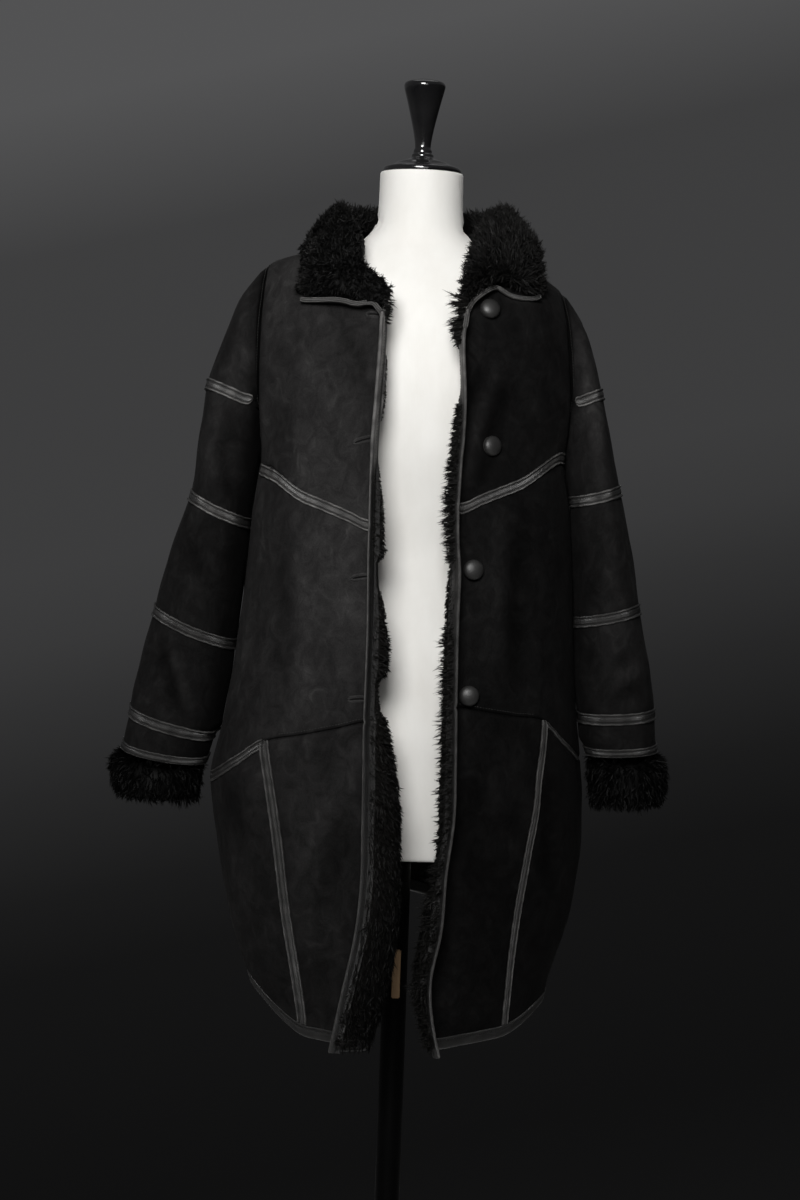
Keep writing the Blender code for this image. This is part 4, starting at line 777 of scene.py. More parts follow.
def refined_sheets(side):
    """Fine points and wall thickness of a front, half the back and a sleeve."""
    other = "right" if side == "left" else "left"
    F, B, S = (on_lattice(kind, side, V) for kind in "FBS")
    beyond_f, beyond_b = B[NB - 1].copy(), F[NF - 1].copy()
    arm_rows = slice(ROW["chest"] + 1, ROW["shoulder"] + 1)
    beyond_f[arm_rows], beyond_b[arm_rows] = np.nan, np.nan      # nothing beyond the armhole
    grid["F", side] = both(F, CU["F"], RU, tail=beyond_f)
    grid["B", side] = both(B, CU["B"], RU, lead=on_lattice("B", other, V, [1])[0], tail=beyond_b)
    grid["S", side] = both(S, CU["S"], SU, closed=True)
    for kind in "FBS":
        thick[kind, side] = flat_refine(on_lattice(kind, side, wall), CU[kind], UP[kind], closed=kind == "S")


def share_borders(side):
    """The sheets take the same points where they meet."""
    F, B, S = (grid[k, side] for k in "FBS")
    low, top = fine_row("F", ROW["chest"] + 2e-6), fine_row("F", ROW["shoulder"])
    B[-1, :low] = F[-1, :low]
    B[-1, top:] = F[-1, top:]
    if side == "right":
        B[0] = grid["B", "left"][0]
    ring = np.concatenate([F[-1, low - 1:top + 1][::-1], B[-1, low:top + 1]])
    S[:, 0] = ring
    cap = fine_row("S", CAP_STEPS)
    flat = [band1_share(side, i) == 0 for i in range(NS)]
    for f, i in enumerate(PI["S"]):
        a, b = int(math.floor(i + 1e-9)) % NS, int(math.ceil(i - 1e-9)) % NS
        if flat[a] and flat[b]:
            S[f, :cap + 1] = ring[f]


for side in SGN:
    refined_sheets(side)
for side in SGN:
    share_borders(side)

# one list of points for all the sheets, each point once
SAME = 5e-6                                          # metres within which two points are one
P = np.concatenate([g.reshape(-1, 3) for g in grid.values()])
TH = np.concatenate([thick[key].reshape(-1) for key in grid])
_, first, number = np.unique(np.round(P / SAME).astype(np.int64), axis=0, return_index=True,
                             return_inverse=True)
P, TH, number = P[first], TH[first], number.reshape(-1)
G_ID = {}                                            # the sheets' point numbers, by fine column and row
count = 0
for key, g in grid.items():
    n = g.shape[0] * g.shape[1]
    G_ID[key] = number[count:count + n].reshape(g.shape[:2])
    count += n


def quads_of(key):
    g = G_ID[key]
    a, b, c, d = g[:-1, :-1], g[:-1, 1:], g[1:, 1:], g[1:, :-1]
    q = np.stack([a, b, c, d], axis=-1)
    if (key[0] == "B") != (key[1] == "right"):
        q = q[..., ::-1]
    return q


def cell_middles(kind):
    return (PI[kind][1:] + PI[kind][:-1]) / 2, (PJ[kind][1:] + PJ[kind][:-1]) / 2


cells = {}
for key in grid:
    q = quads_of(key)
    mi, mj = cell_middles(key[0])
    for x, i in enumerate(mi):
        for y, j in enumerate(mj):
            f = q[x, y]
            if len(set(f.tolist())) >= 3:
                cells.setdefault(cut_of(*key, i, j), []).append(f)
cells = {k: np.array(v) for k, v in cells.items()}
FACES = np.concatenate(list(cells.values()))


# how far the wool shows beyond the rolled front edge at each height, z and metres
WOOL_REACH = {
    "left": [(.490, .0120), (.566, .0130), (.6305, .0120), (.6735, .0100), (.727, .0085), (.770, .0105),
             (.813, .0105), (.845, .0130), (.864, .0110), (.876, .0035), (.906, .0035), (.920, .0145),
             (.942, .0150), (.975, .0090), (.998, .0050), (1.008, .0012), (1.036, .0012), (1.043, .0100),
             (1.055, .0110), (1.104, .0085), (1.135, .0040), (1.146, .0008), (1.184, .0008), (1.192, .0040),
             (1.211, .0060), (1.235, .0050), (1.255, .0052), (1.262, .0008), (1.340, .0008)],
    "right": [(.490, .0120), (.566, .0140), (.640, .0150), (.6735, .0130), (.700, .0065), (.727, .0075),
              (.790, .0120), (.845, .0090), (.888, .0075), (.942, .0085), (.996, .0100), (1.035, .0070),
              (1.060, .0050), (1.100, .0055), (1.148, .0060), (1.190, .0045), (1.212, .0030), (1.225, .0008),
              (1.262, .0008), (1.285, .0050), (1.340, .0080)]}
EDGE_WALL = {"left": [(.49, .0010), (1.125, .0010), (1.150, .0022), (1.34, .0024)],
             "right": [(.49, .0020), (1.34, .0022)]}
EDGE_SHIFT = {"left": [(.49, 0), (1.34, 0)], "right": [(.49, 0), (.86, 0), (.98, -.0022), (1.34, -.0022)]}
# share of the binding's width that is kept
EDGE_NARROW = {"left": [(.49, .55), (.90, .60), (1.15, .70), (1.34, .75)],
               "right": [(.49, .42), (.90, .50), (1.18, .45), (1.24, .28), (1.34, .28)]}


def stepped(table, z):
    """Value at z of a table of (z, value), straight between its rows."""
    t = np.array(table)
    return np.interp(z, t[:, 0], t[:, 1])


def lay_front_edge(side):
    """Shift and narrow the bound edge, and thin the turned edge's wall to the wool that shows past it."""
    g = G_ID["F", side]
    z = P[g][..., 2]
    i = PI["F"][:, None]
    P[g, 0] += stepped(EDGE_SHIFT[side], z) * np.clip((4 - i) / 3, 0, 1)
    outer, inner = P[g[0]], P[g[int(np.searchsorted(PI["F"], 1 - 1e-6))]]
    less = (1 - stepped(EDGE_NARROW[side], z[0]))[:, None]
    for k, place in enumerate(PI["F"]):
        if 0 < place < 4:
            P[g[k]] += (outer - inner) * less * (place if place <= 1 else (4 - place) / 3)
    turned = np.clip((i - 1.01) / .5, 0, 1) * np.clip((6.0 - i) / 1.6, 0, 1)
    wool = np.minimum(TH[g], .60 * stepped(WOOL_REACH[side], z) + .0006)
    TH[g] = TH[g] * (1 - turned) + wool * turned
    TH[g] = np.where(i <= 1.01, np.minimum(TH[g], stepped(EDGE_WALL[side], z)), TH[g])


# the sleeves fill out toward the body between the bands, z and metres
SLEEVE_FULL = {
    "left": [(.840, 0), (.850, .0065), (.90, .0080), (.94, .0088), (1.00, .0094), (1.04, .0086),
             (1.08, .0070), (1.135, .0050), (1.17, 0)],
    "right": [(.840, 0), (.850, .0055), (.90, .0068), (1.00, .0060), (1.07, .0080), (1.11, .0084),
              (1.135, .0060), (1.17, 0)]}


def fill_sleeve(side):
    g = G_ID["S", side]
    middle = P[g].mean(axis=0)
    half = np.abs(P[g][..., 0] - middle[:, 0]).max(axis=0)
    toward = np.clip(-SGN[side] * (P[g][..., 0] - middle[:, 0]) / half, 0, 1)
    P[g, 0] -= SGN[side] * toward * stepped(SLEEVE_FULL[side], P[g][..., 2])


for side in SGN:
    lay_front_edge(side)
for side in SGN:
    fill_sleeve(side)


def normals(P, faces):
    a = np.cross(P[faces[:, 2]] - P[faces[:, 0]], P[faces[:, 3]] - P[faces[:, 1]])
    out = np.zeros_like(P)
    for c in range(4):
        np.add.at(out, faces[:, c], a)
    return out / np.maximum(np.linalg.norm(out, axis=1), 1e-12)[:, None]


def line_distance(X, line):
    """Distance from X (n, 2) to a polyline, and the share of its length there."""
    L = np.array(line)
    seg = np.diff(L, axis=0)
    ln = np.linalg.norm(seg, axis=1)
    start = np.concatenate([[0], np.cumsum(ln)])
    best, where = np.full(len(X), 9.0), np.zeros(len(X))
    for k in range(len(seg)):
        t = np.clip(((X - L[k]) @ seg[k]) / ln[k] ** 2, 0, 1)
        dist = np.linalg.norm(X - L[k] - t[:, None] * seg[k], axis=1)
        w = dist < best
        best[w], where[w] = dist[w], ((start[k] + t * ln[k]) / start[-1])[w]
    return best, where


def soft_noise(X, scale, seed):
    """Smooth noise as a sum of sines, about -1 to 1."""
    r = np.random.default_rng(seed)
    out = np.zeros(len(X))
    for _ in range(7):
        k = r.normal(size=3)
        k = k / np.linalg.norm(k) * scale * r.uniform(.6, 1.6)
        out += np.sin(X @ k * 2 * math.pi + r.uniform(0, 6.28))
    return out / 3.2


def creases():
    """Height of the folds at each skin point."""
    kinds = np.zeros(len(P), "U1")
    for key in grid:
        kinds[G_ID[key].reshape(-1)] = key[0]
    lift = np.zeros(len(P))
    for sheet, width, height, line in FOLDS:
        if sheet in "FB":
            on = kinds == sheet
        else:
            on = (kinds == "S") & ((P[:, 1] < -.008) if sheet == "S" else (P[:, 1] > .004))
            on &= np.sign(P[:, 0]) == np.sign(line[0][0])
        dist, t = line_distance(P[on][:, [0, 2]], line)
        lift[on] += height * np.exp(-(dist / width) ** 2) * np.clip(4 * t * (1 - t), .15, 1) ** .5
    return (lift + .0007 * soft_noise(P * np.array([1, 1, .55]), 9, 3)
            + .0004 * soft_noise(P * np.array([1, 1, .7]), 24, 5))


def calmness():
    """0 where nothing may move the skin: edges, hems, cuffs; less than 1 at the neck and the turned edge."""
    calm = np.ones(len(P))
    for side in SGN:
        g = G_ID["F", side]
        calm[g[PI["F"] <= 1.01].reshape(-1)] = 0
        calm[g[:, PJ["F"] <= 1.01].reshape(-1)] = 0
        calm[G_ID["B", side][:, PJ["B"] <= 1.01].reshape(-1)] = 0
        calm[G_ID["S", side][:, PJ["S"] >= NSR - .3].reshape(-1)] = 0
        calm[g[:, PJ["F"] >= NR - 1].reshape(-1)] *= .3
        calm[g[(PI["F"] > 1.01) & (PI["F"] < 5)].reshape(-1)] *= .5
    return calm


def seam_pull():
    """How far each skin point is drawn in along the seams."""
    pull = np.zeros(len(P))

    def groove(ids, line_ids, depth, width):
        """ids (n, m) run away from the seam's points line_ids (n,)."""
        d = np.linalg.norm(P[ids] - P[line_ids][:, None], axis=2)
        np.minimum.at(pull, ids.reshape(-1), (-depth * np.exp(-(d / width) ** 2)).reshape(-1))
    hip, low, top = (fine_row("F", ROW[name]) for name in ("hip", "chest", "shoulder"))
    for side in SGN:
        F, B, S = (G_ID[k, side] for k in "FBS")
        for g in (F, B):
            groove(g[:, hip - 5:hip + 6], g[:, hip], .0018, .0017)
            groove(g[:, low - 2:low + 3], g[:, low], .0006, .0040)
            groove(g[-6:, top:].T, g[-1, top:], .0010, .0050)
            groove(g[-4:, low:top + 1].T, g[-1, low:top + 1], .0026, .0062)
            groove(g[-6:, :low].T, g[-1, :low], .0010, .0045)
        groove(S[:, :4], S[:, 0], .0030, .0075)
        for name in ("band2", "band3", "band4"):
            q = fine_row("S", S_ROW[name])
            groove(S[:, q - 2:q + 3], S[:, q], .0007, .0060)
    return pull


FOLD_GAIN = 1.6                                      # how strongly the folds are drawn
lift, calm, pull = creases(), calmness(), seam_pull()
P = P + normals(P, FACES) * (FOLD_GAIN * lift * calm + pull)[:, None]
NRM = normals(P, FACES)
PIN = P - NRM * TH[:, None]
SKIN = BVHTree.FromPolygons([tuple(p) for p in P], FACES.tolist())
LINING = BVHTree.FromPolygons([tuple(p) for p in PIN], FACES.tolist())


def at(kind, side, i, j):
    """Skin point, normal and lining point at real-valued lattice places."""
    i, j = np.atleast_1d(np.asarray(i, float)), np.atleast_1d(np.asarray(j, float))
    i, j = np.broadcast_arrays(i, j)
    pi, pj = PI[kind], PJ[kind]
    if kind == "S":
        i = np.mod(i, NS)
    flipped = (i < 0) & (kind == "B")
    i = np.where(flipped, -i, i)
    a = np.clip(np.searchsorted(pi, i, side="right") - 1, 0, len(pi) - 2)
    b = np.clip(np.searchsorted(pj, j, side="right") - 1, 0, len(pj) - 2)
    u = np.clip((i - pi[a]) / (pi[a + 1] - pi[a]), 0, 1)[..., None]
    v = np.clip((j - pj[b]) / (pj[b + 1] - pj[b]), 0, 1)[..., None]
    g = G_ID[kind, side]
    go = G_ID[kind, "left" if side == "right" else "right"]

    def ids(x, y):
        return np.where(flipped, go[x, y], g[x, y])
    out = []
    for arr in (P, NRM, PIN):
        out.append((1 - u) * (1 - v) * arr[ids(a, b)] + u * (1 - v) * arr[ids(a + 1, b)]
                   + (1 - u) * v * arr[ids(a, b + 1)] + u * v * arr[ids(a + 1, b + 1)])
    out[1] = unit_rows(out[1])
    return out

# ------------------------------------------------------------- materials
class Graph:
    """Short names for building one material's nodes."""

    def __init__(self, name):
        self.mat = bpy.data.materials.new(name)
        self.mat.use_nodes = True
        self.tree = self.mat.node_tree
        self.bsdf = self.tree.nodes["Principled BSDF"]
        self.coord = self.tree.nodes.new("ShaderNodeTexCoord")

    def plug(self, socket, value):
        """Link a socket to another, or set it; a colour may be given without its alpha."""
        if isinstance(value, bpy.types.NodeSocket):
            self.tree.links.new(value, socket)
        elif socket.type == "RGBA" and len(value) == 3:
            socket.default_value = (*value, 1)
        else:
            socket.default_value = value

    def node(self, kind, inputs=(), **props):
        n = self.tree.nodes.new(kind)
        for name, value in props.items():
            setattr(n, name, value)
        for name, value in dict(inputs).items():
            self.plug(n.inputs[name], value)
        return n

    def attribute(self, name):
        """A value of the mesh's own."""
        return self.node("ShaderNodeAttribute", attribute_name=name).outputs["Fac"]

    def wear_and_painted_light(self, colour):
        """colour times the mesh's own value of wear and painted light and shade."""
        wear_and_painted_light = self.attribute("wear_and_painted_light")
        return self.node("ShaderNodeVectorMath", {0: colour, "Scale": wear_and_painted_light}, operation="SCALE").outputs[0]

    def noise(self, scale, detail=4, rough=.6, stretch=(1, 1, 1), distort=0):
        vec = self.coord.outputs["Object"]
        if stretch != (1, 1, 1):
            vec = self.node("ShaderNodeMapping", {"Vector": vec, "Scale": stretch}).outputs[0]
        inputs = {"Vector": vec, "Scale": scale, "Detail": detail, "Roughness": rough, "Distortion": distort}
        return self.node("ShaderNodeTexNoise", inputs).outputs["Fac"]

    def cells(self, scale):
        inputs = {"Vector": self.coord.outputs["Object"], "Scale": scale}
        return self.node("ShaderNodeTexVoronoi", inputs).outputs["Distance"]

    def waves(self, direction, **inputs):
        """Bands across the mesh's uv map."""
        inputs = {name.replace("_", " "): value for name, value in inputs.items()}
        inputs["Vector"] = self.node("ShaderNodeMapping", {"Vector": self.coord.outputs["UV"]}).outputs[0]
        return self.node("ShaderNodeTexWave", inputs, bands_direction=direction).outputs["Fac"]

    def ramp(self, fac, stops):
        n = self.node("ShaderNodeValToRGB", {"Fac": fac})
        el = n.color_ramp.elements
        while len(el) < len(stops):
            el.new(.5)
        for e, (place, colour) in zip(el, stops):
            e.position, e.color = place, (*colour, 1)
        return n.outputs["Color"]

    def mix(self, fac, a, b):
        return self.node("ShaderNodeMix", {0: fac, 6: a, 7: b}, data_type="RGBA").outputs[2]

    def math(self, operation, a, b):
        return self.node("ShaderNodeMath", {0: a, 1: b}, operation=operation).outputs[0]

    def span(self, fac, lo, hi, a=0.0, b=1.0):
        """fac from lo to hi as a to b."""
        return self.node("ShaderNodeMapRange", {"Value": fac, "From Min": lo, "From Max": hi, "To Min": a,
                                                "To Max": b}).outputs[0]

    def bump(self, heights):
        """heights: (height, distance in metres, strength), coarse first."""
        last = {}
        for height, distance, strength in heights:
            inputs = {"Height": height, "Distance": distance, "Strength": strength, **last}
            last = {"Normal": self.node("ShaderNodeBump", inputs).outputs[0]}
        self.tree.links.new(last["Normal"], self.bsdf.inputs["Normal"])

    def finish(self, **inputs):
        for name, value in inputs.items():
            self.plug(self.bsdf.inputs[name.replace("_", " ")], value)
        return self.mat


def suede_material():
    g = Graph("suede")
    broad = g.noise(16, 5, .62, (1, 1, .7), .6)
    patch = g.noise(55, 6, .66, (1, 1, .8), 1.1)
    nap = g.noise(900, 3, .7)
    fine = g.noise(2600, 2, .6)
    tone = g.mix(.55, broad, patch)
    base = g.ramp(tone, [(.34, (.0055, .0053, .0055)), (.46, (.0130, .0126, .0128)),
                         (.56, (.0230, .0224, .0225)), (.68, (.046, .0450, .0445))])
    base = g.mix(.35, base, g.ramp(nap, [(.30, (.005, .0048, .005)), (.70, (.036, .0352, .0345))]))
    scar = g.span(g.noise(11, 6, .7, (1, 1, .6), 2.5), .66, .74)
    base = g.mix(g.math("MULTIPLY", scar, .35), base, (.052, .0505, .0495))
    g.bump([(patch, .0012, .55), (nap, .0006, .55), (fine, .00025, .5)])
    return g.finish(Base_Color=g.wear_and_painted_light(base), Roughness=g.span(patch, .3, .75, .95, .80),
                    Specular_IOR_Level=.03, Sheen_Weight=.010, Sheen_Roughness=.45,
                    Sheen_Tint=(.62, .61, .62))


def leather_material(name, dark, light, rough, puckered=True):
    """puckered: with small cross puckers between the stitch rows."""
    g = Graph(name)
    wear_and_painted_light = g.noise(60, 5, .65, distort=.8)
    pores = g.cells(900.0)
    grain = g.noise(520, 5, .65)
    heights = [(wear_and_painted_light, .0006, .35), (grain, .00035, .5), (pores, .00018, .45)]
    tone = wear_and_painted_light
    if puckered:
        pucker = g.waves("X", Scale=1.15, Distortion=2.2, Detail=2.0, Detail_Scale=1.4)
        heights.insert(1, (pucker, .0007, .55))
        tone = g.mix(.55, wear_and_painted_light, pucker)
    base = g.wear_and_painted_light(g.ramp(tone, [(.25, dark), (.75, light)]))
    g.bump(heights)
    return g.finish(Base_Color=base, Roughness=g.span(wear_and_painted_light, .3, .7, rough[1], rough[0]),
                    Specular_IOR_Level=.55, Coat_Weight=.05, Coat_Roughness=.35)


def fur_material(name, dark, light, tip):
    g = Graph(name)
    lock, along = g.attribute("lock"), g.attribute("tip")
    base = g.ramp(g.mix(.4, lock, g.noise(45, 4, .6)), [(.15, dark), (.85, light)])
    base = g.wear_and_painted_light(g.mix(g.math("MULTIPLY", along, .55), base, tip))
    g.bump([(g.noise(1500, 3, .6), .0004, .5)])
    return g.finish(Base_Color=base, Roughness=g.span(lock, 0, 1, .60, .42), Specular_IOR_Level=.10)


def pile_material():
    g = Graph("clipped_wool")
    curl = g.noise(260, 5, .7, distort=1.5)
    clump = g.noise(70, 4, .6, distort=1.0)
    v = g.cells(260.0)
    base = g.ramp(g.mix(.5, curl, clump), [(.3, (.0012, .0011, .0010)), (.7, (.007, .0064, .0058))])
    g.bump([(clump, .004, .7), (v, .0022, .8), (curl, .0016, .9)])
    return g.finish(Base_Color=base, Roughness=.9, Specular_IOR_Level=.08, Sheen_Weight=.03,
                    Sheen_Roughness=.5, Sheen_Tint=(.6, .58, .56))


def thread_material():
    g = Graph("thread")
    n = g.noise(800, 2, .5)
    g.bump([(g.noise(3000, 2, .5), .0002, .5)])
    return g.finish(Base_Color=g.ramp(n, [(.3, (.010, .0095, .009)), (.7, (.030, .029, .028))]), Roughness=.5,
                    Specular_IOR_Level=.5)


def form_material():
    g = Graph("form_jersey")
    warp, weft = (g.waves(direction, Scale=260.0, Distortion=.5, Detail=1.0) for direction in "XY")
    weave = g.math("MULTIPLY", warp, weft)
    slub = g.noise(30, 5, .6, (1, 1, .4))
    base = g.ramp(slub, [(.3, (.80, .785, .75)), (.7, (.87, .86, .83))])
    base = g.mix(g.math("MULTIPLY", g.math("SUBTRACT", 1.0, weave), .12), base, (.62, .60, .56))
    g.bump([(slub, .0006, .25), (weave, .00022, .35)])
    return g.finish(Base_Color=base, Roughness=g.span(slub, .3, .7, .80, .68), Specular_IOR_Level=.3,
                    Sheen_Weight=.12, Sheen_Roughness=.5)


def lacquer_material():
    g = Graph("lacquer")
    n = g.noise(26, 3, .5)
    dust = g.noise(420, 3, .6)
    g.bump([(n, .0005, .06), (dust, .0001, .06)])
    return g.finish(Base_Color=g.ramp(n, [(.3, (.0045, .0045, .005)), (.7, (.010, .0098, .0102))]),
                    Roughness=g.span(dust, .35, .75, .10, .20), Specular_IOR_Level=.6, Coat_Weight=.8,
                    Coat_Roughness=.06)


def paint_material(name, tone, rough, pits):
    """Cast metal under dull black paint; pits is the scale of its texture."""
    g = Graph(name)
    n = g.noise(40, 4, .6)
    cast = g.noise(pits, 4, .6)
    g.bump([(cast, .0006, .25), (g.noise(1400, 2, .5), .0001, .3)])
    dark, light = (tuple(c * k for c in tone) for k in (.75, 1.3))
    return g.finish(Base_Color=g.ramp(n, [(.3, dark), (.7, light)]),
                    Roughness=g.span(cast, .3, .7, rough + .08, rough - .06), Specular_IOR_Level=.06,
                    Coat_Roughness=.3)


def wood_material():
    g = Graph("peg_wood")
    ring = g.noise(90, 5, .6, (1, 1, .08), 1.2)
    fibre = g.noise(700, 4, .6, (1, 1, .05))
    base = g.ramp(g.mix(.45, ring, fibre), [(.3, (.20, .12, .06)), (.55, (.30, .19, .10)),
                                            (.8, (.38, .26, .15))])
    g.bump([(fibre, .0003, .5)])
    return g.finish(Base_Color=base, Roughness=g.span(fibre, .3, .7, .62, .45), Specular_IOR_Level=.4)


def slit_material():
    g = Graph("slit")
    n = g.noise(500, 3, .5)
    g.bump([(n, .0002, .3)])
    return g.finish(Base_Color=g.ramp(n, [(.3, (.002, .002, .002)), (.7, (.005, .0048, .0048))]),
                    Roughness=.9, Specular_IOR_Level=.1)


def floor_material():
    g = Graph("floor")
    n = g.noise(3, 4, .5)
    g.bump([(g.noise(60, 3, .5), .001, .1)])
    return g.finish(Base_Color=g.ramp(n, [(.3, (.60, .595, .58)), (.7, (.64, .635, .62))]), Roughness=.85)


STRIP_LEATHER = ((.030, .029, .028), (.125, .122, .119), (.28, .50))      # dark, light, roughness
BINDING_LEATHER = ((.034, .033, .032), (.125, .122, .119), (.28, .50))
BUTTON_LEATHER = ((.009, .0088, .0086), (.026, .0255, .025), (.40, .52))
FUR = ((.0008, .00077, .00076), (.0055, .0053, .0052), (.0130, .0126, .0122))     # dark, light, tip
# the edge wool's lighter, warmer tips are painted light thrown back from the dress form
WOOL = ((.0009, .00086, .0008), (.0060, .0057, .0053), (.0150, .0142, .0130))
M = {"suede": suede_material(), "pile": pile_material(), "thread": thread_material(),
     "leather": leather_material("strip_leather", *STRIP_LEATHER),
     "binding": leather_material("binding_leather", *BINDING_LEATHER),
     "button": leather_material("button_leather", *BUTTON_LEATHER, puckered=False),
     "fur": fur_material("fur", *FUR), "wool": fur_material("edge_wool", *WOOL),
     "form": form_material(), "lacquer": lacquer_material(),
     "metal": paint_material("stand_paint", (.0012, .0012, .0013), .45, 300),
     "iron": paint_material("foot_paint", (.006, .006, .0064), .46, 160),
     "wood": wood_material(), "slit": slit_material(), "floor": floor_material()}


# ------------------------------------------------------------- pieces
def mesh_object(name, pts, faces, mats, face_mat=None, uv=None, attrs=None, wear_and_painted_light=1.0):
    """Smooth mesh object in the scene; uv and attrs have one value for each point."""
    me = bpy.data.meshes.new(name)
    pts = np.asarray(pts, np.float32)
    sizes = np.array([len(f) for f in faces])
    corners = np.concatenate([np.asarray(f) for f in faces]) if isinstance(faces, list) else faces.reshape(-1)
    me.vertices.add(len(pts))
    me.vertices.foreach_set("co", pts.reshape(-1))
    me.loops.add(len(corners))
    me.loops.foreach_set("vertex_index", corners.astype(np.int32))
    me.polygons.add(len(sizes))
    me.polygons.foreach_set("loop_start", np.concatenate([[0], np.cumsum(sizes)[:-1]]).astype(np.int32))
    for m in mats:
        me.materials.append(M[m])
    if face_mat is not None:
        me.polygons.foreach_set("material_index", np.asarray(face_mat, np.int32))
    if uv is not None:
        layer = me.uv_layers.new(name="UVMap")
        layer.data.foreach_set("uv", np.asarray(uv, np.float32)[corners].reshape(-1))
    # wear_and_painted_light: the mesh's own mottling times its painted light and shade, 1 by default
    for key, values in {"wear_and_painted_light": np.full(len(pts), wear_and_painted_light), **(attrs or {})}.items():
        a = me.attributes.new(key, "FLOAT", "POINT")
        a.data.foreach_set("value", np.asarray(values, np.float32))
    me.update(calc_edges=True)
    me.validate()
    me.polygons.foreach_set("use_smooth", np.ones(len(me.polygons), bool))
    ob = bpy.data.objects.new(name, me)
    scene.collection.objects.link(ob)
    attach(ob, "root")
    return ob

# ------------------------------------------------------------- painted light and shade on the suede
# painted light: the left front painted lightest, the right front in painted shade, and the skirt painted darker than
# the chest
SUEDE_PAINTED_LIGHT = {("F", "left"): 1.05, ("F", "right"): .42, ("B", "left"): 1.0, ("B", "right"): 1.0}
SUEDE_PAINTED_FALLOFF = {"left": [(.50, .62), (.75, .68), (.92, .90), (1.05, 1.02), (1.20, 1.0), (1.40, 1.0)],
          "right": [(.50, .60), (.80, .62), (.95, .72), (1.10, .72), (1.22, .92), (1.40, 1.0)]}
SLEEVE_PAINTED_LIGHT = {"left": .58, "right": .85}
SLEEVE_PAINTED_FALLOFF = {"left": [(.84, .80), (1.05, .85), (1.2, 1.05)],
                 "right": [(.84, .62), (1.05, .85), (1.2, 1.05)]}
# across a sleeve: 1 is the side that lies by the body
SLEEVE_SHADE = {"left": [(-1, 1.1), (.1, .95), (.6, .45), (1, .12)],
                "right": [(-1, 1), (.1, .85), (.6, .55), (1, .30)]}
ARMHOLE_SHADE = [(0, .35), (.010, .60), (.032, 1)]                        # distance from the armhole


def painted_light_and_shade():
    """Painted light and shade at each skin point: by place, lighter on crease ridges, darker in troughs and seams."""
    wear_and_painted_light = np.ones(len(P))
    for (kind, side), tone in SUEDE_PAINTED_LIGHT.items():
        g = G_ID[kind, side]
        wear_and_painted_light[g] = tone * (stepped(SUEDE_PAINTED_FALLOFF[side], P[g][..., 2]) if kind == "F" else 1)
    # painted shade on the sleeves: darker toward the body, lower down and beside the armhole
    for side in SGN:
        g = G_ID["S", side]
        toward = -SGN[side] * (P[g][..., 0] - P[g][..., 0].mean(axis=0))
        toward = np.clip(toward / np.abs(toward).max(axis=0), -1, 1)
        from_armhole = np.linalg.norm(P[g] - P[g[:, :1]], axis=2)
        wear_and_painted_light[g] = (SLEEVE_PAINTED_LIGHT[side] * stepped(SLEEVE_SHADE[side], toward)
                   * stepped(SLEEVE_PAINTED_FALLOFF[side], P[g][..., 2]) * stepped(ARMHOLE_SHADE, from_armhole))
    # painted highlight on crease ridges and painted shade in their troughs, then painted shade along the seams
    wear_and_painted_light *= np.clip(1 + 210 * lift * calm, .45, 1.7)
    return wear_and_painted_light * np.clip(1 + 330 * pull, .25, 1)


SKIN_PAINTED_LIGHT = painted_light_and_shade()


# ------------------------------------------------------------- cuts of the coat
def flat_size(tag):
    """Flat width, length and area of a cut: its longest row and its longest column on the skin."""
    width, length = 0.0, 0.0
    for key in grid:
        mi, mj = cell_middles(key[0])
        on = np.array([[cut_of(*key, i, j) == tag for j in mj] for i in mi])
        if not on.any():
            continue
        x, y = np.where(on.any(1))[0], np.where(on.any(0))[0]
        g = P[G_ID[key][x[0]:x[-1] + 2, y[0]:y[-1] + 2]]
        width += np.linalg.norm(np.diff(g, axis=0), axis=2).sum(0).max()
        length = max(length, np.linalg.norm(np.diff(g, axis=1), axis=2).sum(1).max())
    q = P[cells[tag]]
    area = np.linalg.norm(np.cross(q[:, 2] - q[:, 0], q[:, 3] - q[:, 1]), axis=1).sum() / 2
    return width, length, area


def border_edges(q):
    """Directed edges of the quads q that no other quad shares."""
    e = np.concatenate([q[:, [c, (c + 1) % 4]] for c in range(4)])
    e = e[e[:, 0] != e[:, 1]].tolist()
    have = set(map(tuple, e))
    return np.array([(a, b) for a, b in e if (b, a) not in have])


def cut(tag, q):
    """Closed wall over the fine cells q, standing back from its seams; wool on the inside."""
    ids, local = np.unique(q, return_inverse=True)
    q = local.reshape(q.shape)
    n = len(ids)
    border = border_edges(q)
    away = np.zeros((n, 3))
    m = unit_rows(np.cross(NRM[ids][border[:, 0]], P[ids][border[:, 1]] - P[ids][border[:, 0]]))
    np.add.at(away, border[:, 0], m)
    np.add.at(away, border[:, 1], m)
    length = np.linalg.norm(away, axis=1)
    on = length > 1e-6
    away[on] *= (SEAM / length[on])[:, None]
    walls = [[b, a, a + n, b + n] for a, b in border.tolist()]
    faces, face_mat = [], []
    for mat, group in ((0, q.tolist()), (1, [[v + n for v in f[::-1]] for f in q.tolist()] + walls)):
        for f in group:
            f = [v for c, v in enumerate(f) if v != f[c - 1]]
            if len(f) >= 3:
                faces.append(f)
                face_mat.append(mat)
    pts = np.concatenate([P[ids] + away, PIN[ids] + away])
    ob = mesh_object(tag, pts, faces, ["suede", "pile"], face_mat, attrs={"wear_and_painted_light": np.tile(SKIN_PAINTED_LIGHT[ids], 2)})
    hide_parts(tag)
    return ob


LEAST_AREA = .301                                    # of width times length, the lower bound of the clamp below
for tag, q in cells.items():
    piece = cut(tag, q)
    width, length, area = flat_size(tag)
    float(np.clip(area, LEAST_AREA * width * length, width * length))


# ------------------------------------------------------------- lines on the skin
def lengths_along(pts):
    return np.concatenate([[0], np.cumsum(np.linalg.norm(np.diff(pts, axis=0), axis=1))])


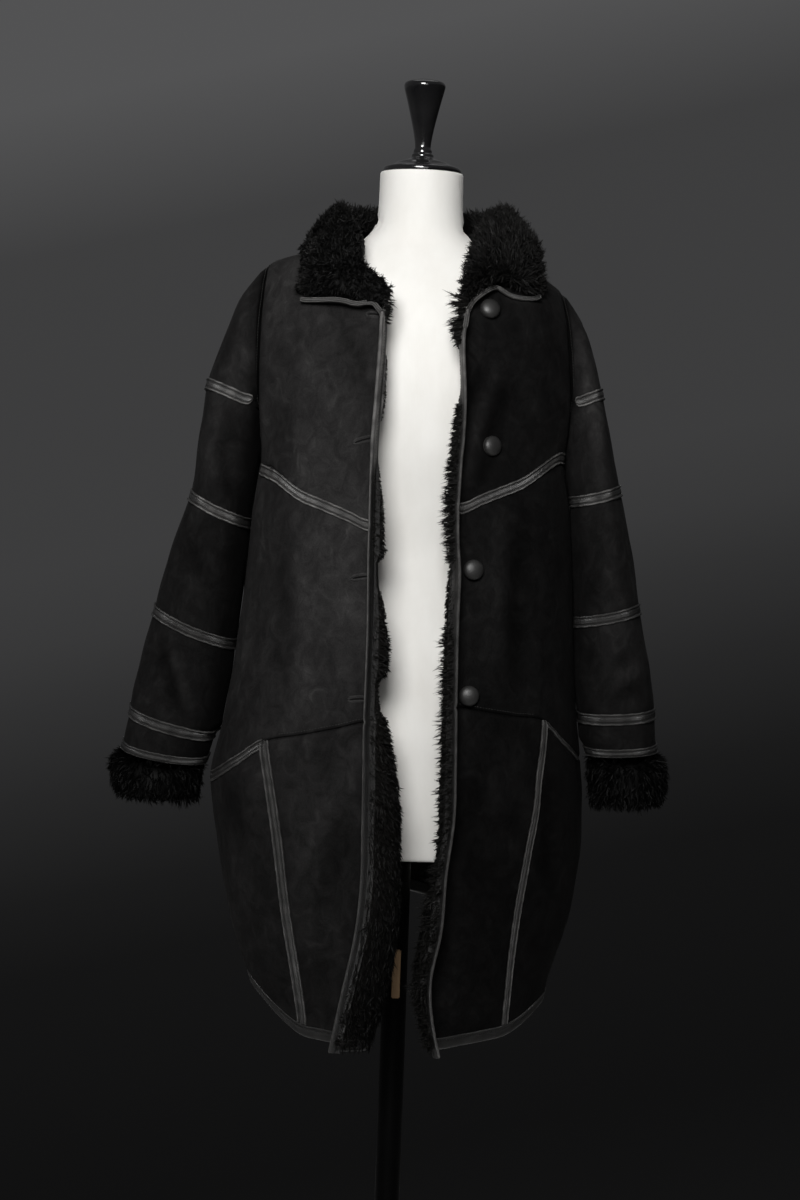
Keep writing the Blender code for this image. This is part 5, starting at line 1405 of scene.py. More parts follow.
def resample(ij, kind, side, step, closed=False):
    """Even steps along the lattice line ij, measured on the skin; also their lengths along it."""
    ij = np.array(ij, float)
    fine = np.concatenate([np.linspace(a, b, 25)[:-1] for a, b in zip(ij, ij[1:])] + [ij[-1:]])
    s = lengths_along(at(kind, side, fine[:, 0], fine[:, 1])[0])
    t = np.linspace(0, s[-1], max(2, int(round(s[-1] / step))) + 1)
    if closed:
        t = t[:-1]
    return np.stack([np.interp(t, s, fine[:, 0]), np.interp(t, s, fine[:, 1])], axis=1), t


def across_points(kind, side, ij, across, offsets):
    """Skin, normal and lining at signed distances across the line; offsets is (n, m)."""
    far = 1.2 if kind == "S" else 1.6                # lattice cells searched on each side
    reach = np.linspace(-far, far, 65)
    offsets = np.broadcast_to(offsets, (len(ij), np.shape(offsets)[-1]))
    i = ij[:, 0][:, None] + (reach[None] if across == "i" else 0 * reach[None])
    j = np.clip(ij[:, 1][:, None] + (reach[None] if across == "j" else 0 * reach[None]), 0, PJ[kind][-1])
    if kind == "F":
        i = np.clip(i, 0, PI[kind][-1])
    found = at(kind, side, i, j)
    out = np.zeros((3,) + offsets.shape + (3,))
    for k in range(len(ij)):
        s = lengths_along(found[0][k])
        s -= s[len(reach) // 2]
        for a in range(3):
            for c in range(3):
                out[a, k, :, c] = np.interp(offsets[k], s, found[a][k, :, c])
    out[1] = unit_rows(out[1])
    return out


def ribbon_faces(n, m, closed=False):
    """Quads between n rows of m points."""
    faces = []
    for a in range(n if closed else n - 1):
        b = (a + 1) % n
        faces += [[a * m + c, a * m + c + 1, b * m + c + 1, b * m + c] for c in range(m - 1)]
    return faces


def underside(n, m, closed=False):
    """Quads that close a ribbon below, from edge to edge of each row."""
    rows = [(a * m, (a + 1) % n * m) for a in range(n if closed else n - 1)]
    return [[b, b + m - 1, a + m - 1, a] for a, b in rows]


def end_caps(n, m):
    return [list(range(m)), [(n - 1) * m + c for c in range(m)]]


def turned_to(pts, faces, which, normal):
    """The faces, all turned over if face number which doesn't look along normal."""
    a, b, d = (pts[faces[which][c]] for c in (0, 1, 3))
    return [f[::-1] for f in faces] if np.cross(b - a, d - a) @ normal < 0 else faces


# ------------------------------------------------------------- stitches
STITCHES = {"pts": [], "faces": [], "count": 0}      # all rows go into one piece at the end
# a low loop with both ends in the hide: along, across, up
LOOP = ((-.5, -.8, -.5), (-.5, .8, -.5), (-.22, 1.2, 1), (-.22, -1.2, 1),
        (.22, -1.2, 1), (.22, 1.2, 1), (.5, .8, -.5), (.5, -.8, -.5))
LOOP_FACES = np.array([[0, 1, 2, 3], [3, 2, 5, 4], [4, 5, 6, 7], [0, 7, 6, 1], [0, 3, 4, 7], [1, 6, 5, 2]])


def sew(line, nrm, closed=False, pitch=.0026, length=.0018, thick=.00034):
    """A row of stitches along a line of points."""
    if closed:
        line, nrm = np.concatenate([line, line[:1]]), np.concatenate([nrm, nrm[:1]])
    s = lengths_along(line)
    count = int(s[-1] / pitch)
    if count < 1:
        return
    middle = (np.arange(count) + .5) * s[-1] / count

    def get(arr, t):
        return np.stack([np.interp(t, s, arr[:, c]) for c in range(3)], axis=1)
    up = unit_rows(get(nrm, middle))
    start, end = np.maximum(middle - length / 2, 0), np.minimum(middle + length / 2, s[-1])
    along = unit_rows(get(line, end) - get(line, start))
    beside = np.cross(along, up)
    c = get(line, middle) + beside * np.random.default_rng(count).normal(0, .00008, (count, 1))
    pts = np.stack([c + along * x * length + beside * y * thick + up * z * thick for x, y, z in LOOP], axis=1)
    base = STITCHES["count"] + np.arange(count)[:, None, None] * len(LOOP)
    STITCHES["pts"].append(pts.reshape(-1, 3))
    STITCHES["faces"].append((base + LOOP_FACES[None]).reshape(-1, 4))
    STITCHES["count"] += count * len(LOOP)


# ------------------------------------------------------------- leather strips
# a section across a strip: share of its half width, height
RIB = [(-1.0, .00005), (-1.03, .0009), (-.98, .0018), (-.86, .0023), (-.72, .0020), (-.62, .0010),
       (-.54, .0006), (-.46, .0010), (-.36, .0014), (-.18, .0016), (0, .0016), (.18, .0016), (.36, .0014),
       (.46, .0010), (.54, .0006), (.62, .0010), (.72, .0020), (.86, .0023), (.98, .0018), (1.03, .0009), (1.0, .00005)]
# painted light across a strip: painted highlights on the beads, painted shade in the stitch grooves
RIB_PAINTED_LIGHT = [(0, .85), (.30, .75), (.44, .42), (.54, .18), (.62, .35), (.72, 1.3), (.86, 1.7), (1.03, .9)]
RIB_STITCH, RIB_STITCH_H = .54, .00072               # place and height of the stitches on it
STRIP_STEP = .0022
PUCKER = .0024                                       # metres of a strip to one unit of its texture


def leather_strip(name, kind, side, path, across, width, closed=False, taper=(0, 0), shift=0.0, wear_and_painted_light=1.0):
    """Beaded strip along a path on the lattice, a little uneven, with two rows of stitches."""
    ij, t = resample(path, kind, side, STRIP_STEP, closed)
    share, high = np.array(RIB).T
    ends = np.ones(len(t))
    for length, from_end in zip(taper, (t, t[-1] - t)):
        if length:
            ends = np.minimum(ends, np.sqrt(np.clip(1 - (1 - np.clip(from_end / length, 0, 1)) ** 2, .02, 1)))
    wobble = .00018 * np.sin(t * 410 + len(name)) + .00012 * np.sin(t * 970 + 2)
    off = share[None] * (width / 2 * ends + wobble)[:, None] + shift
    p, nn, _ = across_points(kind, side, ij, across, off)
    lump = 1 + .07 * np.sin(t * 780 + share[:, None] * 3).T + .06 * np.sin(t * 1730 + 1)[:, None]
    pts = p + nn * (high[None] * lump)[..., None]
    n, m = pts.shape[:2]
    flat = pts.reshape(-1, 3)
    top = ribbon_faces(n, m, closed)
    faces = turned_to(flat, top + underside(n, m, closed), len(top) // 2, nn[n // 2, m // 2])
    if not closed:
        faces = faces + end_caps(n, m)
    patchy = np.clip(1 + .35 * soft_noise(flat, 45, 61) + .20 * soft_noise(flat, 130, 63), .45, 1.8)
    # painted highlights on the beads and painted shade in the grooves, times the leather's own patchiness
    light = wear_and_painted_light * np.tile(stepped(RIB_PAINTED_LIGHT, np.abs(share)), n) * patchy
    # painted shade on a sleeve strip where its side turns away
    if kind == "S":                                  # no glint where a sleeve's side turns away
        light = light * np.interp(np.abs(nn[..., 0]).ravel(), [.70, .95], [1, .30])
    ob = mesh_object(name, flat, faces, ["leather"], attrs={"wear_and_painted_light": light},
                     uv=np.stack([np.repeat(t, m) / PUCKER, np.tile(share, n)], axis=1))
    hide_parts(name)
    for sign in (-1, 1):
        row = (sign * RIB_STITCH * (width / 2 * ends) + shift)[:, None]
        q, qn, _ = across_points(kind, side, ij, across, row)
        sew(q[:, 0] + qn[:, 0] * RIB_STITCH_H, qn[:, 0], closed)


# painted light on the strips: the right ones and the lower ones painted darker, the pocket mouths darkest
STRIP_PAINTED_LIGHT = {"left": {"chest": 1.0, "skirt": .55, "mouth": .38, "upper": 1.0, "lower": .42},
              "right": {"chest": .75, "skirt": .60, "mouth": .45, "upper": .85, "lower": .42}}
BESIDE_BINDING = .06                                 # strips start this far from a binding, in lattice cells
CHEST, HIP = ROW["chest"], ROW["hip"]
CHEST_END = {"left": [(9, -.08), (10, -.15), (11, -.04)],   # column, rows that the strip leaves the seam by
             "right": [(9, 0), (9.7, .06), (10.1, .35), (10.4, .75), (11, 1.0)]}
POCKET_STRIP_W = {"left": STRIP_W, "right": .0085}
MOUTH_W = {"left": POCKET_W, "right": .0072}         # the right one is seen nearly edge on
BAND1_HALF = 5.55                                    # columns that the first band runs down each side


def body_strips(side):
    tone = STRIP_PAINTED_LIGHT[side]
    path = [(1 + BESIDE_BINDING, CHEST)] + [(i, CHEST) for i in range(2, 9)]
    path += [(i, CHEST + off) for i, off in CHEST_END[side]]
    leather_strip("chest_band_" + side, "F", side, path, "j", STRIP_W, wear_and_painted_light=tone["chest"])
    path = [(STRIP_COL, 1.012)] + [(STRIP_COL, j) for j in range(2, HIP)] + [(STRIP_COL, HIP + .02)]
    leather_strip("pocket_strip_" + side, "F", side, path, "i", POCKET_STRIP_W[side], taper=(0, .006),
                  wear_and_painted_light=tone["skirt"])
    path = [(STRIP_COL + .04, HIP)] + [(i, HIP) for i in range(9, 12)]
    leather_strip("pocket_mouth_" + side, "F", side, path, "j", MOUTH_W[side], shift=-.0022,
                  wear_and_painted_light=tone["mouth"])


def sleeve_strips(side):
    tone = STRIP_PAINTED_LIGHT[side]
    path = [(i, S_ROW["band1"]) for i in np.linspace(-BAND1_HALF, BAND1_HALF, 24)]
    leather_strip("sleeve_band_1_" + side, "S", side, path, "j", STRIP_W, taper=(.004, .004),
                  wear_and_painted_light=tone["upper"])
    for name, row, width, part in (("sleeve_band_2_", S_ROW["band2"], STRIP_W, "upper"),
                                   ("sleeve_band_3_", S_ROW["band3"], STRIP_W, "lower"),
                                   ("sleeve_band_4_", S_ROW["band4"], STRIP_W, "lower"),
                                   ("cuff_trim_", S_ROW["trim"] - .20, STRIP_W * .82, "lower")):
        leather_strip(name + side, "S", side, [(i, row) for i in range(NS + 1)], "j", width, closed=True,
                      wear_and_painted_light=tone[part])


for side in SGN:
    body_strips(side)
    sleeve_strips(side)

# ------------------------------------------------------------- bindings folded over a free edge
# one flange: place (1 is its inner end), height and its painted light: a painted highlight by the fold, painted shade
# at the stitches
FLANGE = [(1.0, .0001, 1.0), (1.03, .0005, 1.1), (.97, .0009, 1.2), (.88, .0010, 1.2), (.80, .0008, .8),
          (.74, .0005, .40), (.68, .0005, .40), (.58, .0008, .75), (.35, .0010, .85), (.12, .0011, 1.1)]
NOSE = np.radians(np.linspace(80, -80, 9))           # round the edge between the two flanges
NOSE_R, NOSE_FLAT = .0010, .40                       # leather over the hide there, and how flat the round is
TAIL_END = ((.35, 1.0), (.75, .98), (.95, .86), (1.0, .6))      # share of a tail's length, its size there
BIND_STEP = .0035


def folded(rails):
    """Sections (n, m, 3) from the outer flange round the edge to the inner one, and their places."""
    p0, _, i0 = rails(0.0)
    away = unit_rows(p0 - rails(.004)[0])
    outside, inside = [], []
    for s, h, _ in FLANGE:
        p, nn, pin = rails(min(s, 1.0) * BIND_W)
        outside.append(p + nn * h)
        inside.append(pin - nn * h)
    half = (p0 - i0) / 2
    r = np.linalg.norm(half, axis=1)[:, None] + NOSE_R
    nose = [(p0 + i0) / 2 + unit_rows(half) * r * math.sin(a) + away * (NOSE_R + NOSE_FLAT * r) * math.cos(a)
            for a in NOSE]
    places = [s for s, _, _ in FLANGE]
    places = [-s for s in places] + [-.1 + .2 * (1 - math.sin(a)) / 2 for a in NOSE] + places[::-1]
    return np.stack(outside + nose + inside[::-1], axis=1), places


def hung_out(sec, length):
    """The sections with a closed tail before the first one."""
    d = (sec[0] - sec[1]).mean(0)
    d /= np.linalg.norm(d)
    mid = sec[0].mean(0)
    extra = [mid + (sec[0] - mid) * size + d * (length * x) for x, size in TAIL_END[::-1]]
    return np.concatenate([np.array(extra), sec])


def edge_binding(name, rails, tone, tail=0):
    """rails: function of inward distance (metres) -> outer points, normals, lining points, (n, 3) each;
    tone: the painted light and shade as a function of height and of inside, 0 to 1 round the fold."""
    sec, places = folded(rails)
    if tail:
        sec = hung_out(sec, tail)
    n, m = sec.shape[:2]
    flat = sec.reshape(-1, 3)
    t = lengths_along(sec[:, m // 2])
    normals_in = rails(.006)[1]
    faces = ribbon_faces(n, m) + underside(n, m) + [list(range(m))[::-1], [(n - 1) * m + c for c in range(m)]]
    faces = turned_to(flat, faces, (n // 2) * (m - 1) + 3, normals_in[min(n // 2, len(normals_in) - 1)])
    inside = np.tile(np.clip((np.arange(m) - (len(FLANGE) + 4)) / 2.5, 0, 1), n)
    # painted light round the section, with a painted highlight along the crest of the fold
    light = [w for _, _, w in FLANGE]
    crest = np.concatenate([light, np.linspace(1.25, 1.0, len(NOSE)), light[::-1]])
    patchy = np.clip(1 + .25 * soft_noise(flat, 45, 61) + .20 * soft_noise(flat, 160, 63), .5, 1.7)
    ob = mesh_object(name, flat, faces, ["binding"],
                     attrs={"wear_and_painted_light": tone(flat[:, 2], inside) * np.tile(crest, n) * patchy},
                     uv=np.stack([np.repeat(t, m) / .0030, np.tile(places, n)], axis=1))
    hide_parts(name)
    p, nn, pin = rails(.72 * BIND_W)
    sew(p + nn * .0010, nn)
    sew(pin - nn * .0010, -nn)
    _, nn, pin = rails(.30 * BIND_W)
    sew(pin - nn * .0017, -nn, pitch=.0034, length=.0016, thick=.00030)


def inward_rails(kind, side, ij, across):
    """rails() for a line ij on the skin, going in along the lattice."""
    def rails(s):
        return [rows[:, 0] for rows in across_points(kind, side, ij, across, np.full((len(ij), 1), s))]
    return rails


# painted shade on the hem bindings, deeper on their inside
def hem_painted_shade(z, inside):
    return .20 * (1 - inside) + .08 * inside


# painted light on the front bindings: a painted highlight down the folded edge, painted shade on the inside except at
# its top
FRONT_PAINTED_LIGHT = {  # z, how light: the folded edge shines all the way down; inside, only its top does
    "left": ([(.5, 1.9), (.508, .95), (.8, 1.0), (1.3, 1.3)],
             [(.5, .13), (.86, .12), (.90, .10), (1.04, .12), (1.13, .12), (1.17, 1.0), (1.3, 1.3)]),
    "right": ([(.5, 1.7), (.508, .75), (.85, .75), (1.3, 1.0)],
              [(.5, .12), (.85, .14), (.95, .22), (1.02, .5), (1.05, .22), (1.20, .22), (1.24, 1.0),
               (1.3, 1.2)])}


def front_painted_light(side):
    out, within = FRONT_PAINTED_LIGHT[side]

    def tone(z, inside):
        return (1 - inside) * stepped(out, z) + inside * stepped(within, z)
    return tone


def back_hem_rails(s):
    """rails() for the hem behind, from one side to the other."""
    halves = []
    for side in SGN:
        ij, _ = resample([(i, 0) for i in np.linspace(0, NB - .01, 40)], "B", side, BIND_STEP)
        halves.append(inward_rails("B", side, ij, "j")(s))
    return [np.concatenate([a[::-1], b[1:]]) for a, b in zip(*halves)]


for side in SGN:
    ij, _ = resample([(0, j) for j in np.linspace(0, NR, 4 * NR + 1)], "F", side, BIND_STEP)
    edge_binding("front_binding_" + side, inward_rails("F", side, ij, "i"), front_painted_light(side), TAIL[side])
    ij, _ = resample([(i, 0) for i in np.linspace(1 + BESIDE_BINDING, NF - .01, 60)], "F", side, BIND_STEP)
    edge_binding("hem_binding_" + side, inward_rails("F", side, ij, "j"), hem_painted_shade)
edge_binding("hem_binding_back", back_hem_rails, hem_painted_shade)

# ------------------------------------------------------------- piping under the collar
RAY_Y = -.6                                          # in front of everything


def on_front(x, z):
    """Point and normal of the outer skin straight behind (x, z), seen from the front."""
    hit, n, _, _ = SKIN.ray_cast(Vector((x, RAY_Y, z)), Vector((0, 1, 0)))
    return np.array(hit), np.array(n)


collar_mesh = cad["collar"].data
COLLAR = BVHTree.FromPolygons([v.co for v in collar_mesh.vertices],
                              [list(f.vertices) for f in collar_mesh.polygons])


def collar_front(x, z):
    """y of the collar's front just over (x, z), or nan."""
    hit = COLLAR.ray_cast(Vector((x, RAY_Y, z + .0022)), Vector((0, 1, 0)))[0]
    return np.nan if hit is None else hit[1]


def smooth_line(points, step):
    """Even points along a smooth curve through points."""
    pts = np.array(points, float)
    s = lengths_along(pts)
    f = pchip([(t, *p) for t, p in zip(s, pts)])
    return np.array([f(t) for t in np.linspace(0, s[-1], max(4, int(s[-1] / step)))])


def evened(values, times):
    """Running mean of three, the ends kept."""
    values = values.copy()
    for _ in range(times):
        values[1:-1] = (values[:-2] + values[1:-1] + values[2:]) / 3
    return values


# collar edge, x z from the outer end to the front corner, and how far it stands off the hide
COLLAR_EDGE = {
    "left": [(-.1290, 1.3211, .0016), (-.1220, 1.3196, .0012), (-.1079, 1.3192, .0010),
             (-.0928, 1.3196, .0008), (-.0787, 1.3180, .0014), (-.0678, 1.3152, .0030),
             (-.0602, 1.3150, .0052), (-.0539, 1.3172, .0066), (-.0475, 1.3160, .0050),
             (-.0428, 1.3112, .0030)],
    "right": [(.1351, 1.3345, .0016), (.1265, 1.3312, .0014), (.1156, 1.3302, .0016), (.1047, 1.3312, .0026),
              (.0945, 1.3354, .0036), (.0868, 1.3400, .0040), (.0775, 1.3368, .0034), (.0701, 1.3314, .0026),
              (.0617, 1.3241, .0020), (.0560, 1.3160, .0014)]}
PIPE = [(-1.0, -.0006), (-1.08, .0008), (-1.0, .0021), (-.84, .0027), (-.66, .0022), (-.56, .0014),
        (-.46, .0018), (-.25, .0025), (0, .0027), (.25, .0025), (.44, .0018), (.54, .0014),
        (.64, .0020), (.80, .0024), (1.0, .0018), (1.05, .0004)]                 # its section, like RIB
# painted highlights on the piping's beads and painted shade in its stitch grooves; along it, painted shade toward the
# outer end of the right one
PIPE_PAINTED_LIGHT = [(-1, 1), (-.84, 1.5), (-.56, .35), (-.3, .8), (.3, .8), (.54, .35), (.8, 1.5), (1.05, 1)]
PIPE_PAINTED_FALLOFF = {"left": [(0, 1.0), (.45, 1.0), (1, 1.2)], "right": [(0, .40), (.45, .9), (1, 1.2)]}
PIPE_HALF, PIPE_STEP, PIPE_STITCHES = .0026, .0018, (-.56, .54)
STAND_MOST = .014                                    # farthest that it stands off the hide
JUMP = .008                                          # a step in depth that means the hide has ended


def piping_path(side):
    """Points and normals along the collar's edge, then down on to the front edge."""
    line = smooth_line(COLLAR_EDGE[side], PIPE_STEP)
    base, nrm = (np.array(q) for q in zip(*(on_front(x, z) for x, z, _ in line)))
    for k in range(1, len(base)):                    # past the corner there is no hide behind the line
        if abs(base[k, 1] - base[k - 1, 1]) > JUMP:
            base[k, 1], nrm[k] = base[k - 1, 1], nrm[k - 1]
    collar_y = np.array([collar_front(x, z) for x, z, _ in line])
    stand = np.where(np.isnan(collar_y), 0, base[:, 1] - collar_y - .0010)
    base[:, 1] -= evened(np.clip(stand, line[:, 2], STAND_MOST), 12)
    skin, _, lining = at("F", side, .25, np.linspace(NR - .5, NR - 1.6, 4))
    base = smooth_line(np.concatenate([base[::4], (skin + lining) / 2 + np.array([0, -.0012, 0])]), PIPE_STEP)
    n = len(base)
    new, old = np.linspace(0, 1, n), np.linspace(0, 1, len(nrm))
    nrm = np.stack([np.interp(new, old, nrm[:, c]) for c in range(3)], axis=1)
    turn = np.clip((np.arange(n) / n - .60) / .15, 0, 1)[:, None]
    nrm = nrm * (1 - turn) + turn * np.array([SGN[side] * .15, -1.0, .1])
    return base, unit_rows(evened(nrm, 3))


def beside(line, nrm):
    """Vectors across a line of points with these normals."""
    return np.cross(nrm, unit_rows(np.gradient(line, axis=0)))


def collar_piping(side):
    base, nrm = piping_path(side)
    w = unit_rows(beside(base, nrm))
    if w[0, 2] < 0:
        w = -w
    for k in range(1, len(w)):
        if w[k] @ w[k - 1] < 0:
            w[k] = -w[k]
    t = lengths_along(base)
    end = np.sqrt(np.clip(1 - (1 - np.clip(np.minimum(t, t[-1] - t) / .004, 0, 1)) ** 2, .03, 1))
    rows = [base + w * (s * PIPE_HALF * end)[:, None] + nrm * (h * end)[:, None] for s, h in PIPE]
    n, m = len(base), len(PIPE)
    flat = np.stack(rows, axis=1).reshape(-1, 3)
    share = [s for s, _ in PIPE]
    faces = turned_to(flat, ribbon_faces(n, m) + underside(n, m), (n // 2) * (m - 1) + m // 2, nrm[n // 2])
    light = np.tile(stepped(PIPE_PAINTED_LIGHT, share), n) * np.repeat(stepped(PIPE_PAINTED_FALLOFF[side], t / t[-1]), m)
    ob = mesh_object("collar_binding_" + side, flat, faces + end_caps(n, m), ["binding"],
                     attrs={"wear_and_painted_light": light}, uv=np.stack([np.repeat(t, m) / .0026, np.tile(share, n)], axis=1))
    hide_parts("collar_binding_" + side)
    for s in PIPE_STITCHES:
        row = base + w * (s * PIPE_HALF * end)[:, None] + nrm * .0016
        sew(row, nrm, pitch=.0024, length=.0016, thick=.0003)


for side in SGN:
    collar_piping(side)

# ------------------------------------------------------------- buttonholes
# x z at both ends, the end by the open edge first
HOLES = [((-.0330, 1.3035), (-.0560, 1.3050)), ((-.0420, 1.1705), (-.0650, 1.1635)),
         ((-.0400, 1.0205), (-.0620, 1.0170)), ((-.0400, .8880), (-.0610, .8860))]
LIP = [(-1.0, .0001), (-.92, .0008), (-.72, .0012), (-.50, .0012), (-.30, .0009), (-.16, .0004), (0, .00005),
       (.16, .0004), (.30, .0009), (.50, .0012), (.72, .0012), (.92, .0008), (1.0, .0001)]
SLIT = [(-.24, .00075), (0, .0010), (.24, .00075)]
# the lips' suede is painted lighter than the hide round it, as a highlight on the padding
LIP_HALF, LIP_PAINTED_HIGHLIGHT, LIP_STITCHES, HOLE_POINTS = .0042, 1.9, (-.62, .62), 25


def buttonhole(k, start, end):
    """Two padded lips, painted lighter as a highlight, and a dark slit between them."""
    n, m = HOLE_POINTS, len(LIP)
    u = np.linspace(0, 1, n)
    places = [(lerp(start[0], end[0], q), lerp(start[1], end[1], q) + .0007 * math.sin(3.1 * q)) for q in u]
    base, nrm = (np.array(q) for q in zip(*(on_front(x, z) for x, z in places)))
    nrm = unit_rows(nrm)
    w = beside(base, nrm)
    w *= 1 if w[n // 2, 2] > 0 else -1
    wide = np.sqrt(np.clip(1 - np.abs(2 * u - 1) ** 5, .02, 1))
    rows = [base + w * (s * LIP_HALF * wide)[:, None] + nrm * (h * wide + .0001)[:, None] for s, h in LIP]
    flat = np.stack(rows, axis=1).reshape(-1, 3)
    faces = turned_to(flat, ribbon_faces(n, m), 0, nrm[0]) + [f[::-1] for f in underside(n, m)]
    mesh_object(f"buttonhole_{k}", flat, faces, ["suede"], wear_and_painted_light=LIP_PAINTED_HIGHLIGHT)
    within = (u > .08) & (u < .92)
    wide_slit = np.sqrt(np.clip(1 - np.linspace(-1, 1, within.sum()) ** 4, .02, 1))
    rows = [base[within] + w[within] * (s * LIP_HALF * wide_slit)[:, None] + nrm[within] * h for s, h in SLIT]
    flat = np.stack(rows, axis=1).reshape(-1, 3)
    slit = mesh_object(f"buttonhole_slit_{k}", flat, ribbon_faces(within.sum(), len(SLIT)), ["slit"])
    for s in LIP_STITCHES:
        row = base + w * (s * LIP_HALF * wide)[:, None] + nrm * .00145
        sew(row, nrm, pitch=.0018, length=.0013, thick=.00028)


for k, (start, end) in enumerate(HOLES):
    buttonhole(k + 1, start, end)


# ------------------------------------------------------------- seams sewn without a strip
def seam_row(kind, side, path, across, off):
    """A row of small stitches beside a seam."""
    ij, _ = resample(path, kind, side, .003)
    q, qn, _ = across_points(kind, side, ij, across, np.full((len(ij), 1), off))
    sew(q[:, 0] + qn[:, 0] * .00015, qn[:, 0], pitch=.0032, length=.0020, thick=.00026)


for side in SGN:
    for kind, path, across, off in (("F", [(1.1, HIP), (7.6, HIP)], "j", .0040),
                                    ("F", [(NF, 1.2), (NF, CHEST)], "i", -.0038),
                                    ("F", [(NF, ROW["shoulder"]), (NF, NR - .3)], "i", -.0036),
                                    ("S", [(i, 0) for i in range(NS + 1)], "j", .0034),
                                    ("B", [(0, HIP), (NB, HIP)], "j", .0040),
                                    ("B", [(0, CHEST), (NB, CHEST)], "j", .0040)):
        seam_row(kind, side, path, across, off)

# ------------------------------------------------------------- fur
def fine_copy(node, inset):
    """Vertices, normals and faces of a smoothed, finer copy of a CAD solid, drawn in by inset."""
    bm = bmesh.new()
    bm.from_mesh(cad[node].data)
    bmesh.ops.remove_doubles(bm, verts=bm.verts, dist=1e-5)
    bmesh.ops.join_triangles(bm, faces=bm.faces, angle_face_threshold=3.1, angle_shape_threshold=3.1)
    mesh = bpy.data.meshes.new("tmp")
    bm.to_mesh(mesh)
    bm.free()
    ob = bpy.data.objects.new("tmp", mesh)
    scene.collection.objects.link(ob)
    ob.modifiers.new("smooth", "SUBSURF").levels = 2
    got = ob.evaluated_get(bpy.context.evaluated_depsgraph_get()).to_mesh()
    co, nr = np.empty(len(got.vertices) * 3), np.empty(len(got.vertices) * 3)
    got.vertices.foreach_get("co", co)
    got.vertices.foreach_get("normal", nr)
    faces = [list(p.vertices) for p in got.polygons]
    bpy.data.objects.remove(ob)
    bpy.data.meshes.remove(mesh)
    co, nr = co.reshape(-1, 3), nr.reshape(-1, 3)
    return co - nr * inset, nr, faces


def triangles(faces):
    return np.array([[f[0], f[k], f[k + 1]] for f in faces for k in range(1, len(f) - 1)])


def scatter(co, nr, faces, gap, seed, keep=None):
    """Points about gap apart on a mesh; returns points and normals."""
    tri = triangles(faces)
    a, b, c = (co[tri[:, k]] for k in range(3))
    area = np.linalg.norm(np.cross(b - a, c - a), axis=1) / 2
    r = np.random.default_rng(seed)
    n = int(area.sum() / gap**2 * 1.9)
    chosen = r.choice(len(tri), n, p=area / area.sum())
    u, v = r.random(n), r.random(n)
    over = u + v > 1
    u[over], v[over] = 1 - u[over], 1 - v[over]
    w = 1 - u - v
    p = a[chosen] * w[:, None] + b[chosen] * u[:, None] + c[chosen] * v[:, None]
    na, nb, nc = (nr[tri[chosen, k]] for k in range(3))
    q = unit_rows(na * w[:, None] + nb * u[:, None] + nc * v[:, None])
    if keep is not None:
        ok = keep(p, q)
        p, q = p[ok], q[ok]
    _, first = np.unique((p // (gap * .72)).astype(np.int64), axis=0, return_index=True)
    return p[first], q[first]


def field(p, scale, seed):
    return np.stack([soft_noise(p, scale, seed + c) for c in range(3)], axis=1)


STEPS = (0.0, .50, 1.0)                              # along a hair; the last is its tip
TAPER = (.90, 1.0)                                   # its width at the steps before the tip
HAIR_TIP = [0, 0, .5, .5, 1.0]                       # the mesh's "tip" value at a hair's points
HAIR_POINTS = len(HAIR_TIP)
HAIR_TRIANGLES = np.array([[0, 1, 3], [0, 3, 2], [2, 3, 4]])


def tufts(p, n, flow, length, spread, hairs, thick, curl, seed, lift=.5, clump=110, wild=.4):
    """Clumps of flat tapering hairs that lie along flow, lift of their length off the skin; curl is
    (turns, share of the length). Returns points, triangles, lock and tip values."""
    r = np.random.default_rng(seed)
    k = len(p)
    along = flow + field(p, clump, seed) * wild + r.normal(0, .10, (k, 3))
    along = along - n * np.einsum("ij,ij->i", along, n)[:, None]
    d = unit_rows(n * np.broadcast_to(lift, k)[:, None] + along)
    e1 = unit_rows(np.cross(d, n + r.normal(0, .6, (k, 3))))
    e2 = np.cross(d, e1)

    def ring(angle):
        return np.cos(angle)[:, None] * e1 + np.sin(angle)[:, None] * e2
    tall = length * (1 + .20 * soft_noise(p, clump * .6, seed + 20)) * r.uniform(.75, 1.2, k)
    phase = r.uniform(0, 2 * math.pi, k)
    pts = []
    for _ in range(hairs):
        angle, out = r.uniform(0, 2 * math.pi, k), spread * np.sqrt(r.uniform(.05, 1, k))
        root = ring(angle)
        own = tall * r.uniform(.72, 1.12, k)
        flat = ring(r.uniform(0, math.pi, k))
        swing = phase + r.normal(0, .35, k)
        rows = []
        for s in STEPS:
            c = p + root * (out * (1 - .78 * s))[:, None] + d * (own * (s - .10 * (1 - s)))[:, None]
            c = c - n * (own * .16 * s * s)[:, None]
            rows.append(c + ring(swing + 2 * math.pi * curl[0] * s) * (tall * curl[1] * s)[:, None])
        w = thick * r.uniform(.7, 1.3, k)[:, None] / 2
        for c, t in zip(rows, TAPER):
            pts += [c - flat * w * t, c + flat * w * t]
        pts.append(rows[-1])
    pts = np.stack(pts, axis=1).reshape(-1, 3)
    tris = (np.arange(k * hairs)[:, None, None] * HAIR_POINTS + HAIR_TRIANGLES[None]).reshape(-1, 3)
    lock = np.clip(.5 + .34 * soft_noise(p, clump * .6, seed + 30) + r.normal(0, .08, k), 0, 1)
    lock = np.clip(np.repeat(lock, hairs) + r.normal(0, .07, k * hairs), 0, 1)
    return pts, tris, np.repeat(lock, HAIR_POINTS), np.tile(HAIR_TIP, k * hairs)


